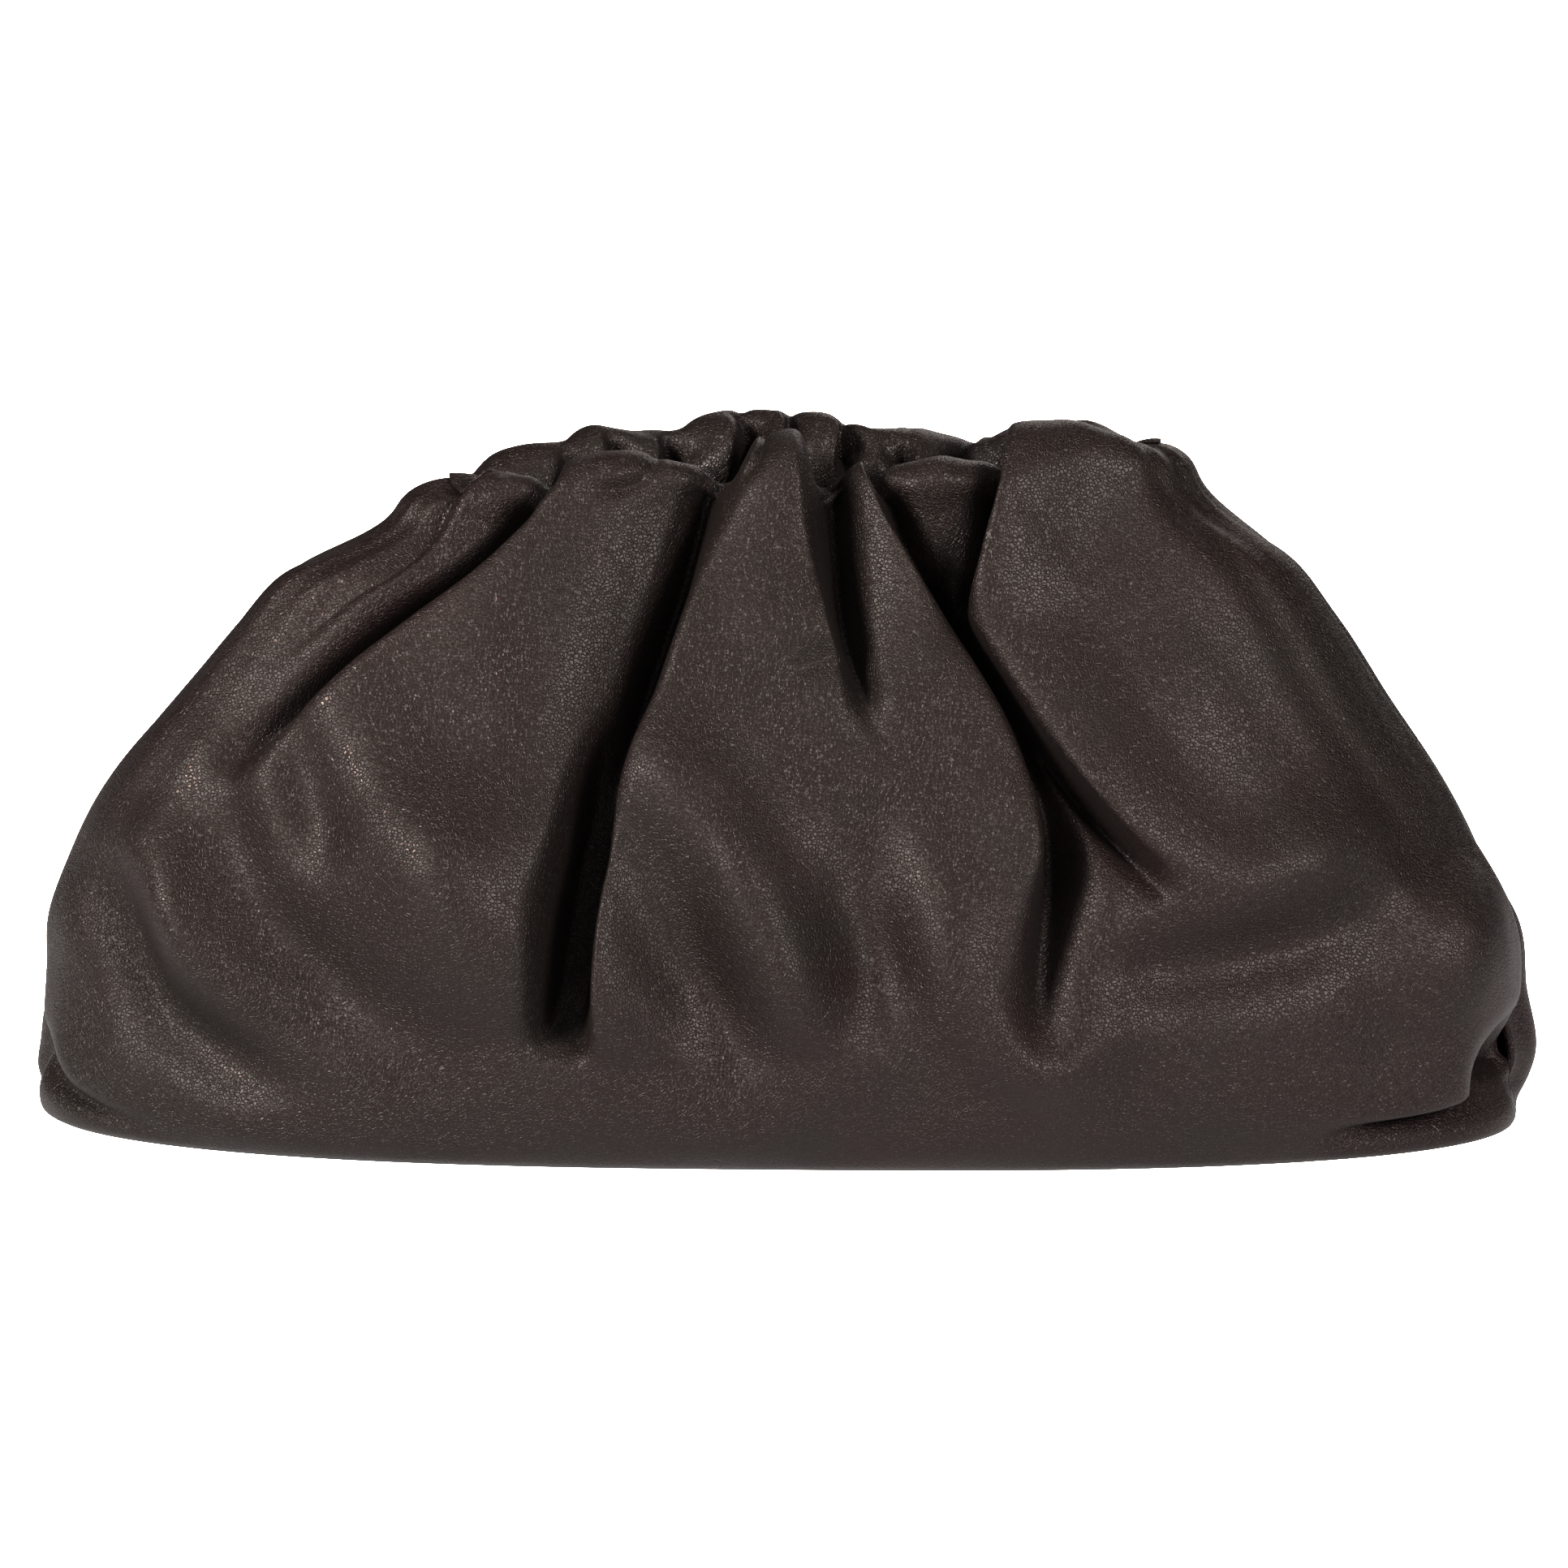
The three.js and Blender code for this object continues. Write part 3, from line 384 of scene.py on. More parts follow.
class Skin:
    """The outer skin of one panel as a grid of points, in millimetres."""

    def __init__(self, sizes, facing, folds, swales, gathers):
        self.s = {name: millimetres(getattr(sizes, name)) for name in PouchSizes.__annotations__}
        self.facing = facing
        self.folds = [self.traced(dict(zip(FOLD_COLUMNS, row))) for row in folds.values()]
        self.folds += [self.traced(self.gather(*row)) for row in gathers]
        self.swales = [self.traced(dict(zip(SWALE_COLUMNS, row))) for row in swales.values()]
        self.angle, self.stage = np.meshgrid(self.even_angles(), self.even_stages())
        self.crowd_columns()

    def even_angles(self):
        """Angles of the columns, from the panel's one seam to its other."""
        share = np.linspace(0, 1, PANEL_COLUMNS + 1)
        start = math.pi if self.facing == FRONT else 0.0
        return start + math.pi * share + COLUMN_WARP * np.sin(2 * math.pi * share)

    def even_stages(self):
        """Stages of the rows: 0 at the floor, 1 at the lip's shoulder, 2 over its top, 3 at the hem."""
        wall = np.linspace(0, 1, WALL_ROWS + 1)
        roll = 1 + np.linspace(0, 1, ROLL_ROWS + 1)[1:]
        hem = 2 + np.linspace(0, 1, HEM_ROWS + 1)[1:]
        return np.concatenate([wall, roll, hem])

    def crowd_columns(self):
        """Draws the columns of each row together at the folds, so that they run along the folds."""
        point, along = self.plain()
        across = -self.facing * point[..., 0]
        density = np.ones(across.shape)
        for fold in self.folds:
            if np.ptp(fold["trace"][:, 1]) < CROWD_SPAN:
                continue
            offset, depth, _ = self.fold_place(fold, across, along)
            density += CROWDING * np.clip(depth / CROWD_DEPTH, 0, 1) * bump(offset, CROWD_WIDTH)
        for _ in range(CROWD_SMOOTHING):
            density[1:-1] = (density[:-2] + 2 * density[1:-1] + density[2:]) / 4
        total = np.cumsum(density, axis=1)
        total = (total - total[:, :1]) / (total[:, -1:] - total[:, :1])
        even = np.linspace(0, 1, across.shape[1])
        rows = zip(total, self.angle)
        self.angle = np.stack([np.interp(even, places, angles) for places, angles in rows])

    def gather(self, across, depth, ridge, soft, rim):
        """A small gather in a lip is a short fold from inside the mouth up to its top."""
        x = (across * self.s["slit_width"] / 2 + self.s["slit_shift"]) / (self.s["belly_width"] / 2)
        x *= -self.facing
        path = [(x, up, rim + (1 - rim) * deep) for up, deep in GATHER_INSIDE]
        path += [(x * turned, up, rim * deep) for turned, up, deep in GATHER_OUTSIDE]
        row = (-self.facing * ridge, depth, GATHER_CRISP, soft, 0, GATHER_LIFT, GATHER_LAP, path)
        return dict(zip(FOLD_COLUMNS, row))

    def traced(self, fold):
        """A fold with its path as a fine line in millimetres, and its depth along it."""
        scale = np.array([self.s["belly_width"] / 2, self.s["crest_height"],
                          self.s["fold_depth"] * abs(fold["depth"])])
        fold["trace"] = spline(fold["path"], PATH_STEPS) * scale
        return fold

    def crest(self, angle, slit):
        """Height of the lip's top."""
        share = np.cos(angle)
        drop = np.where(share < 0, self.s["crest_drop_left"], self.s["crest_drop_right"])
        place = (slit[..., 0] - self.s["slit_shift"]) / self.s["slit_width"] + 0.5
        lip = "front" if self.facing == FRONT else "back"
        lift = self.s["lip_roll"] * table_value(LIP_SECTIONS, lip, place)
        return self.s["crest_height"] + lift - drop * share * share

    def sag(self, angle):
        """How far the lip's soft end sags."""
        sags = []
        for side, (amount, start, length) in ((-1, LEFT_SAG), (1, RIGHT_SAG)):
            sags.append(amount * smooth((side * np.cos(angle) - start) / length))
        return self.s["lip_sag"] * np.maximum(*sags)

    def plain(self):
        """Points of the skin before its folds, and the height measured along the leather."""
        s, angle, stage = self.s, self.angle, self.stage
        slit = loop_points(s["slit_width"] / 2, s["slit_gap"] / 2, SLIT_SQUARENESS, s["slit_shift"], angle)
        half_lip = s["slit_gap"] / 2 + s["lip_thickness"]
        lip = loop_points(s["lip_width"] / 2, half_lip, LIP_SQUARENESS, s["lip_shift"], angle)
        belly = loop_points(s["belly_width"] / 2, s["belly_depth"] / 2, BELLY_SQUARENESS, 0.0, angle)
        shoulder = self.crest(angle, slit) - s["lip_roll"]
        facing_share = np.sin(angle) ** 2
        side = np.where(np.cos(angle) < 0, table_value(WALL_SECTIONS, "left", stage),
                        table_value(WALL_SECTIONS, "right", stage))
        spread = side + (table_value(WALL_SECTIONS, "face", stage) - side) * facing_share
        turn = np.clip(stage - 1, 0, 1) * math.pi
        drop = np.clip(stage - 2, 0, 1) * s["hem_drop"]
        wall = lip + (belly - lip) * spread[..., None]
        roll = slit + (lip - slit) * ((1 + np.cos(turn)) / 2)[..., None]
        place = np.where((stage <= 1)[..., None], wall, roll)
        share = np.maximum(table_value(WALL_SECTIONS, "rise", stage), 0)
        wall_rise = shoulder * share
        rise = np.where(stage <= 1, wall_rise, shoulder + s["lip_roll"] * np.sin(turn) - drop)
        arc = math.pi / 2 * s["lip_roll"]
        along = np.where(stage <= 1, rise, shoulder + arc * 2 * turn / math.pi + drop)
        rise = rise - self.sag(angle) * smooth((share - SAG_FROM) / (1 - SAG_FROM))
        return self.eased(np.concatenate([place, rise[..., None]], axis=-1)), along

    def eased(self, point):
        """The skin with the turn from the wall to the lip's roll made round."""
        near = bump(self.stage - 1, SHOULDER_EASE)[1:-1, :, None]
        for _ in range(SHOULDER_SMOOTHING):
            point[1:-1] += near * (point[:-2] - 2 * point[1:-1] + point[2:]) / 4
        return point

    def fold_place(self, fold, across, along):
        """Distance from a fold's crease (over 0 on its steep side), its depth there and its left."""
        best = np.full(across.shape, 1e9)
        side = np.zeros(across.shape)
        depth = np.zeros(across.shape)
        left = np.zeros(across.shape + (2,))
        for start, end in zip(fold["trace"][:-1], fold["trace"][1:]):
            run = (end - start)[:2]
            reach = np.stack([across - start[0], along - start[1]], axis=-1)
            share = np.clip(reach @ run / (run @ run), 0, 1)
            gap = reach - share[..., None] * run
            distance = np.hypot(gap[..., 0], gap[..., 1])
            near = distance < best
            leftward = np.array([run[1], -run[0]]) / math.hypot(*run)
            best = np.where(near, distance, best)
            side = np.where(near, gap @ leftward, side)
            depth = np.where(near, start[2] + (end[2] - start[2]) * share, depth)
            left[near] = leftward
        offset = best * np.where(side * fold.get("ridge", 1) > 0, -1, 1)
        return offset, np.maximum(depth, 0), left

    def fold_shift(self, fold, across, along):
        """Depth of one fold's valley, height of its ridge, and its move sideways in x and up."""
        offset, depth, left = self.fold_place(fold, across, along)
        crisp = self.s["fold_crisp"] * fold["crisp"]
        past = np.minimum(offset + crisp * fold["floor"], 0)
        gentle = np.clip(1 + past / (self.s["fold_soft"] * fold["soft"]), 0, 1) ** ROLL_OFF
        pinched = np.clip(1 + past / (PINCH_WIDTH * crisp), 0, 1) ** 2
        steep = offset / (EDGE_WIDTH * crisp)
        turned = 1 - (1 - np.clip(steep, 0, 1)) ** WALL_POWER
        fall = 1 - smooth((steep - 1) / RIDGE_FALL)
        valley = np.where(offset < 0, (1 - PINCH) * gentle + PINCH * pinched, 1 - turned)
        ridge = np.where(offset < 0, 0, turned * fall)
        lean = np.where(offset < 0, 0, smooth(steep) * fall)
        sideways = left * (fold["ridge"] * fold["lap"] * depth * lean)[..., None]
        return depth * valley, depth * fold["lift"] * ridge, sideways

    def swale_depth(self, swale, across, along):
        """How deep one soft valley is."""
        offset, depth, _ = self.fold_place(swale, across, along)
        return math.copysign(1, swale["depth"]) * depth * bump(offset, self.s["fold_soft"] * swale["width"])

    def dent_depth(self, dent, point, along):
        """How deep one dent beside a side seam is."""
        half = self.s["belly_depth"] / 2
        u = (np.abs(point[..., 1]) - dent["out"] * half) / (dent["wide"] * half)
        v = (along - dent["along"] * self.s["crest_height"]) / (dent["tall"] * self.s["crest_height"])
        there = np.sign(point[..., 0]) == dent["side"]
        return self.s["fold_depth"] * dent["depth"] * np.exp(-(u * u + v * v) ** DENT_POWER) * there

    def wrinkles(self, point, along):
        """Fine unevenness of the leather: soft lumps, and small creases that run out from the mouth."""
        lumps = np.empty(along.shape)
        rays = np.empty(along.shape)
        for i in np.ndindex(along.shape):
            x, y, z = point[i]
            lump_place = Vector((x, y + LUMP_SHIFT * self.facing, z)) / LUMP_SIZE
            ray_place = Vector((self.angle[i] * RAY_COUNT, along[i] / RAY_LENGTH, self.facing * RAY_SHIFT))
            lumps[i] = noise.noise(lump_place)
            rays[i] = noise.noise(ray_place)
        near_mouth = smooth(along / self.s["crest_height"])
        return LUMP_HEIGHT * lumps + RAY_HEIGHT * rays * (RAY_AT_FLOOR + near_mouth)

    def folded(self):
        """Points of the skin with its folds."""
        point, along = self.plain()
        normal = grid_normals(point)
        across = -self.facing * point[..., 0]
        on_wall = self.stage <= 1
        from_floor = np.where(on_wall, smooth(point[..., 2] / REST_BAND), 1)
        from_seam = smooth(np.abs(point[..., 1]) / self.s["groove_width"])
        calm = from_floor * from_seam * smooth((2 + LIP_FADE - self.stage) / LIP_FADE)
        valley = np.zeros(across.shape)
        out = np.zeros(across.shape)
        side = np.zeros(across.shape + (2,))
        for fold in self.folds:
            fold_valley, fold_ridge, fold_side = self.fold_shift(fold, across, along)
            valley += fold_valley ** VALLEY_BLEND
            out += fold_ridge * calm
            side += fold_side * calm[..., None]
        out -= valley ** (1 / VALLEY_BLEND) * calm
        for swale in self.swales:
            out -= self.swale_depth(swale, across, along) * calm
        for row in SIDE_DENTS:
            dent = dict(zip(DENT_COLUMNS, row))
            if dent["panel"] == self.facing:
                out -= self.dent_depth(dent, point, along) * from_floor * on_wall
        out += self.wrinkles(point, along) * calm
        groove = bump(point[..., 1], self.s["groove_width"]) * smooth((1 - self.stage) / GROOVE_FADE)
        out -= self.s["groove_depth"] * groove * from_floor
        sideways = np.stack([-self.facing * side[..., 0], np.zeros(across.shape), side[..., 1]], axis=-1)
        sideways -= normal * np.sum(sideways * normal, axis=-1, keepdims=True)
        return softened(point + normal * out[..., None] + sideways)


def grid_normals(point):
    """Outward normals of a grid of points."""
    around = np.gradient(point, axis=1)
    up = np.gradient(point, axis=0)
    normal = np.cross(around, up)
    return normal / np.linalg.norm(normal, axis=-1, keepdims=True)


def softened(point):
    """The grid with its sharpest turns made softer, as leather bends. Its edges stay."""
    for _ in range(SOFTENING):
        middle = point[1:-1, 1:-1]
        around = point[:-2, 1:-1] + point[2:, 1:-1] + point[1:-1, :-2] + point[1:-1, 2:]
        point[1:-1, 1:-1] = middle + SOFTENING_STEP * (around / 4 - middle)
    return point


def sewn_panel(skin):
    """The folded skin with its two seams brought to the middle, less half the sewn gap."""
    point = skin.folded()
    point[:, 0, 1] = 0
    point[:, -1, 1] = 0
    point[..., 1] += skin.facing * skin.s["sewn_gap"] / 2
    return point


def add_grid(name, point):
    """A grid primitive whose vertices go to the given points, in millimetres."""
    rows, columns = point.shape[:2]
    bpy.ops.object.select_all(action="DESELECT")
    bpy.ops.mesh.primitive_grid_add(x_subdivisions=columns - 1, y_subdivisions=rows - 1, size=1)
    piece = bpy.context.object
    piece.name = name
    piece.data.name = name
    piece.location = (0, 0, 0)
    count = len(piece.data.vertices)
    if count != rows * columns:
        raise RuntimeError(f"{name}: the grid has {count} vertices, not {rows * columns}")
    piece.data.vertices.foreach_set("co", (point / 1000).astype(np.float32).ravel())
    piece.data.update()
    return piece


def add_modifier(piece, kind, **settings):
    """Adds one modifier, sets it and applies it."""
    modifier = piece.modifiers.new(kind.title(), kind)
    for key, value in settings.items():
        setattr(modifier, key, value)
    bpy.context.view_layer.objects.active = piece
    bpy.ops.object.modifier_apply(modifier=modifier.name)


def finish_piece(piece, material, slot, *nodes):
    """Shades a leather piece smooth, gives it its material and ties it to the frame."""
    bpy.ops.object.select_all(action="DESELECT")
    piece.select_set(True)
    bpy.context.view_layer.objects.active = piece
    bpy.ops.object.shade_smooth()
    piece.data.materials.clear()
    piece.data.materials.append(material)
    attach(piece, "root")
    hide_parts(*nodes)


def add_node(tree, kind, inputs=None, **settings):
    """Adds one node with its settings. An input is a value, or an output socket to link from."""
    node = tree.nodes.new(kind)
    for key, value in settings.items():
        setattr(node, key, value)
    for key, value in (inputs or {}).items():
        if isinstance(value, bpy.types.NodeSocket):
            tree.links.new(value, node.inputs[key])
        else:
            node.inputs[key].default_value = value
    return node


def new_material(name):
    """An empty node material and its tree."""
    material = bpy.data.materials.new(name)
    material.use_nodes = True
    material.node_tree.nodes.clear()
    return material, material.node_tree


def colour4(colour):
    """A colour of the sidebar with full alpha."""
    return (*colour, 1.0)


# Patterns of the leather, in cells a metre: clouds of dye about 110 mm wide, patches of polish about
# 40 mm wide and soft creases about 7 mm apart.
DYE_CLOUDS = 9.0
POLISH_PATCHES = 26.0
SOFT_CREASES = 150.0

# Relief of the leather: strength, and height in metres.
LEATHER_RELIEF = {"pebble": (0.85, 0.00015), "pores": (0.45, 0.0001), "creases": (0.25, 0.0008)}

# How the cells of the grain are bent, how wide the grooves between them are, and how much finer the
# pores are than the cells.
GRAIN_BEND = 1.2
GRAIN_BEND_SCALE = 0.45
GROOVE_SHARE = 0.22
PORE_FINENESS = 2.2


def calfskin(sizes, colours):
    """Soft calfskin, drum dyed and lightly finished: fine pebbled grain, low satin sheen, uneven dye.

    Its real grain has cells of 0.5 to 0.8 mm, drawn a little coarser so that it shows.
    """
    material, tree = new_material("calfskin")
    place = add_node(tree, "ShaderNodeTexCoord").outputs["Object"]
    grain_scale = 1 / sizes.grain
    cloud = add_node(tree, "ShaderNodeTexNoise", {
        "Vector": place, "Scale": DYE_CLOUDS, "Detail": 3.0, "Roughness": 0.55})
    patch = add_node(tree, "ShaderNodeTexNoise", {
        "Vector": place, "Scale": POLISH_PATCHES, "Detail": 4.0, "Roughness": 0.6})
    warm = add_node(tree, "ShaderNodeMapRange", {
        "Value": cloud.outputs["Fac"], "From Min": 0.4, "From Max": 0.64})
    cool = add_node(tree, "ShaderNodeMapRange", {
        "Value": patch.outputs["Fac"], "From Min": 0.5, "From Max": 0.72})
    dyed = add_node(tree, "ShaderNodeMix", {
        "Factor": warm.outputs["Result"], "A": colour4(colours.leather),
        "B": colour4(colours.leather_warm)}, data_type="RGBA")
    tone = add_node(tree, "ShaderNodeMix", {
        "Factor": cool.outputs["Result"], "A": dyed.outputs[2],
        "B": colour4(colours.leather_cool)}, data_type="RGBA")
    warp = add_node(tree, "ShaderNodeTexNoise", {
        "Vector": place, "Scale": grain_scale * GRAIN_BEND_SCALE, "Detail": 1.0})
    shift = add_node(tree, "ShaderNodeVectorMath", {
        0: warp.outputs["Color"], "Scale": sizes.grain * GRAIN_BEND}, operation="SCALE")
    moved = add_node(tree, "ShaderNodeVectorMath", {0: place, 1: shift.outputs["Vector"]}, operation="ADD")
    cells = add_node(tree, "ShaderNodeTexVoronoi", {
        "Vector": moved.outputs["Vector"], "Scale": grain_scale}, feature="DISTANCE_TO_EDGE")
    pebble = add_node(tree, "ShaderNodeMapRange", {
        "Value": cells.outputs["Distance"], "From Max": GROOVE_SHARE}, interpolation_type="SMOOTHSTEP")
    pores = add_node(tree, "ShaderNodeTexNoise", {
        "Vector": place, "Scale": grain_scale * PORE_FINENESS, "Detail": 2.0})
    creases = add_node(tree, "ShaderNodeTexNoise", {
        "Vector": place, "Scale": SOFT_CREASES, "Detail": 3.0, "Distortion": 0.6})
    heights = {"pebble": pebble.outputs["Result"], "pores": pores.outputs["Fac"],
               "creases": creases.outputs["Fac"]}
    below = {}
    for name, height in heights.items():
        strength, distance = LEATHER_RELIEF[name]
        relief = add_node(tree, "ShaderNodeBump", {
            "Strength": strength, "Distance": distance, "Height": height, **below})
        below = {"Normal": relief.outputs["Normal"]}
    shine = add_node(tree, "ShaderNodeMapRange", {
        "Value": patch.outputs["Fac"], "From Min": 0.3, "From Max": 0.7, "To Min": 0.44, "To Max": 0.54})
    leather = add_node(tree, "ShaderNodeBsdfPrincipled", {
        "Base Color": tone.outputs[2], "Roughness": shine.outputs["Result"], "IOR": 1.45,
        "Sheen Weight": 0.03, "Sheen Roughness": 0.4, "Coat Weight": 0.38, "Coat Roughness": 0.45,
        "Coat IOR": 1.5, "Coat Normal": below["Normal"], "Normal": below["Normal"]})
    add_node(tree, "ShaderNodeOutputMaterial", {"Surface": leather.outputs["BSDF"]})
    return material


# Brush marks on the steel, in cells a metre along each axis: 25 mm long and 0.4 mm apart.
BRUSH_MARKS = (40.0, 40.0, 2500.0)


def spring_steel(colours):
    """Cold rolled spring steel strip, brushed along its length: grey, with a soft directional shine."""
    material, tree = new_material("spring_steel")
    place = add_node(tree, "ShaderNodeTexCoord").outputs["Object"]
    stretched = add_node(tree, "ShaderNodeMapping", {"Vector": place, "Scale": BRUSH_MARKS})
    brushed = add_node(tree, "ShaderNodeTexNoise", {
        "Vector": stretched.outputs["Vector"], "Scale": 1.0, "Detail": 3.0})
    shine = add_node(tree, "ShaderNodeMapRange", {
        "Value": brushed.outputs["Fac"], "To Min": 0.25, "To Max": 0.42})
    lines = add_node(tree, "ShaderNodeBump", {
        "Strength": 0.2, "Distance": 0.0001, "Height": brushed.outputs["Fac"]})
    steel = add_node(tree, "ShaderNodeBsdfPrincipled", {
        "Base Color": colour4(colours.steel), "Metallic": 1.0, "Roughness": shine.outputs["Result"],
        "Normal": lines.outputs["Normal"]})
    add_node(tree, "ShaderNodeOutputMaterial", {"Surface": steel.outputs["BSDF"]})
    return material


# The paper's own glow, by the distance in metres from a place behind the bag.
GLOW_MIDDLE = (0.0, 1.35, 0.0)
PAPER_GLOW = {"From Min": 0.9, "From Max": 1.6, "To Min": 0.5, "To Max": 0.32}
PAPER_CLOUDS = 40.0


def studio_paper(colours):
    """Seamless background paper: matt and pale grey, with a glow that the picture shows as white."""
    material, tree = new_material("studio_paper")
    place = add_node(tree, "ShaderNodeTexCoord").outputs["Object"]
    fibre = add_node(tree, "ShaderNodeTexNoise", {"Vector": place, "Scale": PAPER_CLOUDS, "Detail": 2.0})
    rough = add_node(tree, "ShaderNodeMapRange", {
        "Value": fibre.outputs["Fac"], "To Min": 0.85, "To Max": 0.95})
    away = add_node(tree, "ShaderNodeVectorMath", {0: place, 1: GLOW_MIDDLE}, operation="DISTANCE")
    glow = add_node(tree, "ShaderNodeMapRange", {
        "Value": away.outputs["Value"], **PAPER_GLOW}, interpolation_type="SMOOTHSTEP")
    paper = add_node(tree, "ShaderNodeBsdfPrincipled", {
        "Base Color": colour4(colours.floor), "Roughness": rough.outputs["Result"],
        "Specular IOR Level": 0.2, "Emission Color": (1.0, 1.0, 1.0, 1.0),
        "Emission Strength": glow.outputs["Result"]})
    add_node(tree, "ShaderNodeOutputMaterial", {"Surface": paper.outputs["BSDF"]})
    return material


def shared_material(name, make, *inputs):
    """The material of that name, made the first time it is asked for."""
    return bpy.data.materials.get(name) or make(*inputs)


def pouch_leather(context):
    """The bag's leather, with the sizes and colours of the sidebar."""
    return shared_material("calfskin", calfskin, context.scene.pouch_sizes, context.scene.pouch_colours)


def make_panel(context, name, skin, slot):
    """One leather panel of the bag, as a wall of leather on its folded skin."""
    sizes = context.scene.pouch_sizes
    piece = add_grid(name + "_leather", skin)
    add_modifier(piece, "SOLIDIFY", thickness=sizes.leather_wall, offset=-1.0)
    finish_piece(piece, pouch_leather(context), slot, name)


def patch_grid(front, back, stages, side, reach):
    """Part of both skins around the top of one side seam, a little outside them."""
    rows = np.flatnonzero((stages >= PATCH_FROM) & (stages <= PATCH_TO))
    parts = []
    for skin, name, outward in ((back, "back", -side), (front, "front", side)):
        strip = skin[rows] if outward < 0 else skin[rows, ::-1]
        middle = strip[len(rows) // 2]
        length = np.cumsum(np.linalg.norm(np.diff(middle, axis=0), axis=1))
        parts.append(strip[:, :np.searchsorted(length, reach[name]) + 2])
    grid = np.concatenate([parts[0][:, :0:-1], parts[1][:, 1:]], axis=1)
    if side > 0:
        grid = grid[:, ::-1]
    return grid + grid_normals(grid) * PATCH_LIFT


class POUCH_OT_leather_panels(bpy.types.Operator):
    """Front and back panel with their gathers, and the patches over the tops of their seams"""

    bl_idname = "pouch.leather_panels"
    bl_label = "Leather panels"

    def execute(self, context):
        sizes = context.scene.pouch_sizes
        front_skin = Skin(sizes, FRONT, FRONT_FOLDS, FRONT_SWALES, FRONT_GATHERS)
        back_skin = Skin(sizes, BACK, BACK_FOLDS, BACK_SWALES, BACK_GATHERS)
        front, back = sewn_panel(front_skin), sewn_panel(back_skin)
        make_panel(context, "front_panel", front, "front_leather")
        make_panel(context, "back_panel", back, "back_leather")
        for name, row in PATCHES.items():
            grid = patch_grid(front, back, front_skin.even_stages(), row["side"], row)
            piece = add_grid(name + "_leather", grid)
            add_modifier(piece, "SOLIDIFY", thickness=sizes.patch_thickness, offset=1.0)
            finish_piece(piece, pouch_leather(context), "patch_leather", name)
        return {"FINISHED"}


class POUCH_OT_base_panel(bpy.types.Operator):
    """Flat leather base inside the rim of the two panels"""

    bl_idname = "pouch.base_panel"
    bl_label = "Base panel"

    def execute(self, context):
        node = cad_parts["base_panel"]
        bpy.ops.object.select_all(action="DESELECT")
        piece = node.copy()
        piece.data = node.data.copy()
        piece.name = "base_panel_leather"
        piece.parent = None
        context.scene.collection.objects.link(piece)
        finish_piece(piece, pouch_leather(context), "base_leather", "base_panel")
        return {"FINISHED"}


class POUCH_OT_mouth_frame(bpy.types.Operator):
    """Finish of the steel frame in the mouth"""

    bl_idname = "pouch.mouth_frame"
    bl_label = "Mouth frame"

    def execute(self, context):
        steel = shared_material("spring_steel", spring_steel, context.scene.pouch_colours)
        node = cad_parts["mouth_frame"]
        node.data.materials.clear()
        node.data.materials.append(steel)
        return {"FINISHED"}


# Brightness from which the picture is pure white, and below it rows of brightness and what the
# picture shows for it: a little darker in the folds and brighter where the leather shines.
WHITE_FROM = 0.25
PICTURE_CURVE = [
    (0.02, 0.0145), (0.04, 0.0345), (0.055, 0.053), (0.08, 0.091), (0.12, 0.15), (0.17, 0.215),
]

# Soft lamps, all turned to one place in the bag: place, width, height and power in watts. Their
# colour is a little warmer than white.
SOFTBOXES = {
    "key_softbox": ((-1.2, -0.9, 0.8), 0.5, 0.4, 20.0),
    "side_softbox": ((1.1, -1.4, 0.8), 0.5, 0.4, 19.0),
    "rim_softbox": ((0.4, 1.3, 0.7), 1.0, 0.4, 2.5),
    "top_softbox": ((0.0, 0.0, 1.3), 0.9, 0.6, 2.0),
}
LAMP_AIM = (0, 0, 0.07)
LAMP_COLOUR = (1.0, 0.94, 0.9)
ROOM_LIGHT = 0.03
FLOOR_SIZE = 8.0

CAMERA_AZIMUTH = 2.0
CAMERA_ELEVATION = 12.0
CAMERA_LENS = 300.0
CAMERA_SENSOR = 36.0
VIEW_WIDTH = 0.4002
VIEW_CENTRE = Vector((0.0, 0.0, 0.0857))


def add_camera(context):
    """The camera in front of the bag, a little above it."""
    distance = VIEW_WIDTH * CAMERA_LENS / CAMERA_SENSOR
    azimuth = math.radians(CAMERA_AZIMUTH)
    elevation = math.radians(CAMERA_ELEVATION)
    forwards = -math.cos(azimuth) * math.cos(elevation)
    towards = Vector((math.sin(azimuth) * math.cos(elevation), forwards, math.sin(elevation)))
    bpy.ops.object.camera_add(location=VIEW_CENTRE + towards * distance)
    camera = context.object
    camera.rotation_euler = (-towards).to_track_quat("-Z", "Y").to_euler()
    camera.data.lens = CAMERA_LENS
    camera.data.sensor_width = CAMERA_SENSOR
    camera.data.clip_end = 50.0
    context.scene.camera = camera


def add_softbox(context, name, place, width, height, power):
    """A soft lamp at a place, turned to the bag."""
    bpy.ops.object.light_add(type="AREA", location=place)
    light = context.object
    light.name = name
    light.data.shape = "RECTANGLE"
    light.data.size = width
    light.data.size_y = height
    light.data.energy = power
    light.data.color = LAMP_COLOUR
    light.rotation_euler = (Vector(LAMP_AIM) - Vector(place)).to_track_quat("-Z", "Y").to_euler()


def white_out(view):
    """Plain colours with some contrast, and the pale floor as pure white, as in a catalogue."""
    view.view_transform = "Standard"
    view.use_curve_mapping = True
    points = view.curve_mapping.curves[3].points
    points[-1].location = (WHITE_FROM, 1.0)
    for brightness, shown in PICTURE_CURVE:
        points.new(brightness, shown)
    for point in points:
        point.handle_type = "VECTOR"
    view.curve_mapping.update()


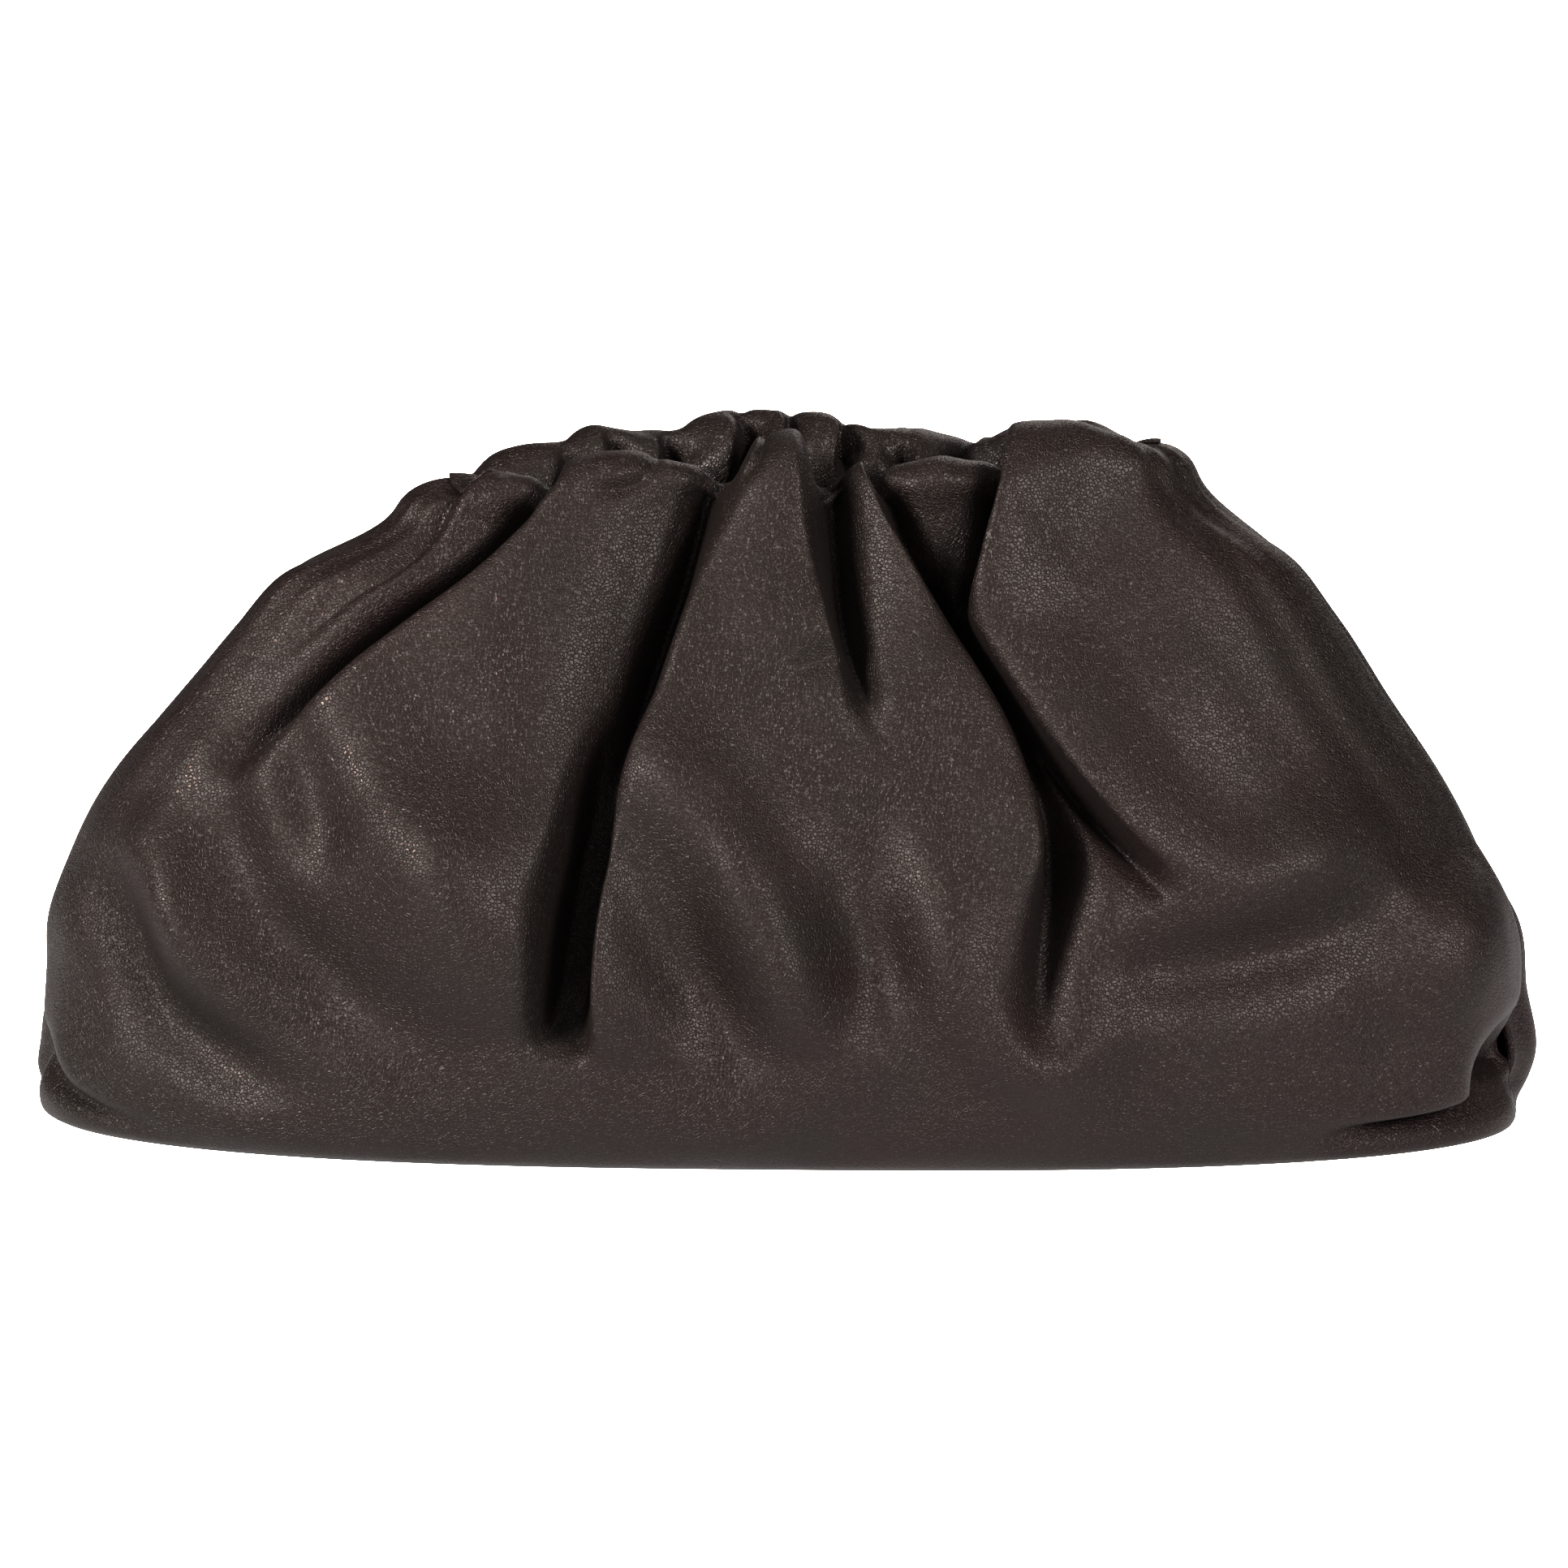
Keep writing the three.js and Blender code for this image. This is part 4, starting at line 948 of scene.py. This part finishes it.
class POUCH_OT_stage(bpy.types.Operator):
    """Pale floor, soft studio light and the camera"""

    bl_idname = "pouch.stage"
    bl_label = "Stage"

    def execute(self, context):
        bpy.ops.object.select_all(action="DESELECT")
        bpy.ops.mesh.primitive_plane_add(size=FLOOR_SIZE, location=(0, 0, 0))
        floor = context.object
        floor.name = "studio_floor"
        paper = shared_material("studio_paper", studio_paper, context.scene.pouch_colours)
        floor.data.materials.append(paper)
        world = bpy.data.worlds.new("studio")
        world.use_nodes = True
        background = world.node_tree.nodes["Background"]
        background.inputs["Color"].default_value = (1.0, 1.0, 1.0, 1.0)
        background.inputs["Strength"].default_value = ROOM_LIGHT
        context.scene.world = world
        for name, row in SOFTBOXES.items():
            add_softbox(context, name, *row)
        add_camera(context)
        white_out(context.scene.view_settings)
        return {"FINISHED"}


class POUCH_PT_panel(bpy.types.Panel):
    """Sizes, colours and pieces of the pouch"""

    bl_idname = "POUCH_PT_panel"
    bl_label = "Gathered pouch"
    bl_space_type = "VIEW_3D"
    bl_region_type = "UI"
    bl_category = "Pouch"

    def draw(self, context):
        for group in (context.scene.pouch_sizes, context.scene.pouch_colours):
            box = self.layout.box()
            for name in type(group).__annotations__:
                box.prop(group, name)
        for operator in OPERATORS:
            self.layout.operator(operator.bl_idname)


OPERATORS = (POUCH_OT_leather_panels, POUCH_OT_base_panel, POUCH_OT_mouth_frame, POUCH_OT_stage)
CLASSES = (PouchSizes, PouchColours, *OPERATORS, POUCH_PT_panel)


def register():
    for item in CLASSES:
        bpy.utils.register_class(item)
    bpy.types.Scene.pouch_sizes = bpy.props.PointerProperty(type=PouchSizes)
    bpy.types.Scene.pouch_colours = bpy.props.PointerProperty(type=PouchColours)


def unregister():
    del bpy.types.Scene.pouch_colours
    del bpy.types.Scene.pouch_sizes
    for item in reversed(CLASSES):
        bpy.utils.unregister_class(item)


def main():
    """Registers the classes and makes every piece and the stage."""
    register()
    for operator in OPERATORS:
        group, name = operator.bl_idname.split(".")
        getattr(getattr(bpy.ops, group), name)()


if __name__ == "__main__":
    main()
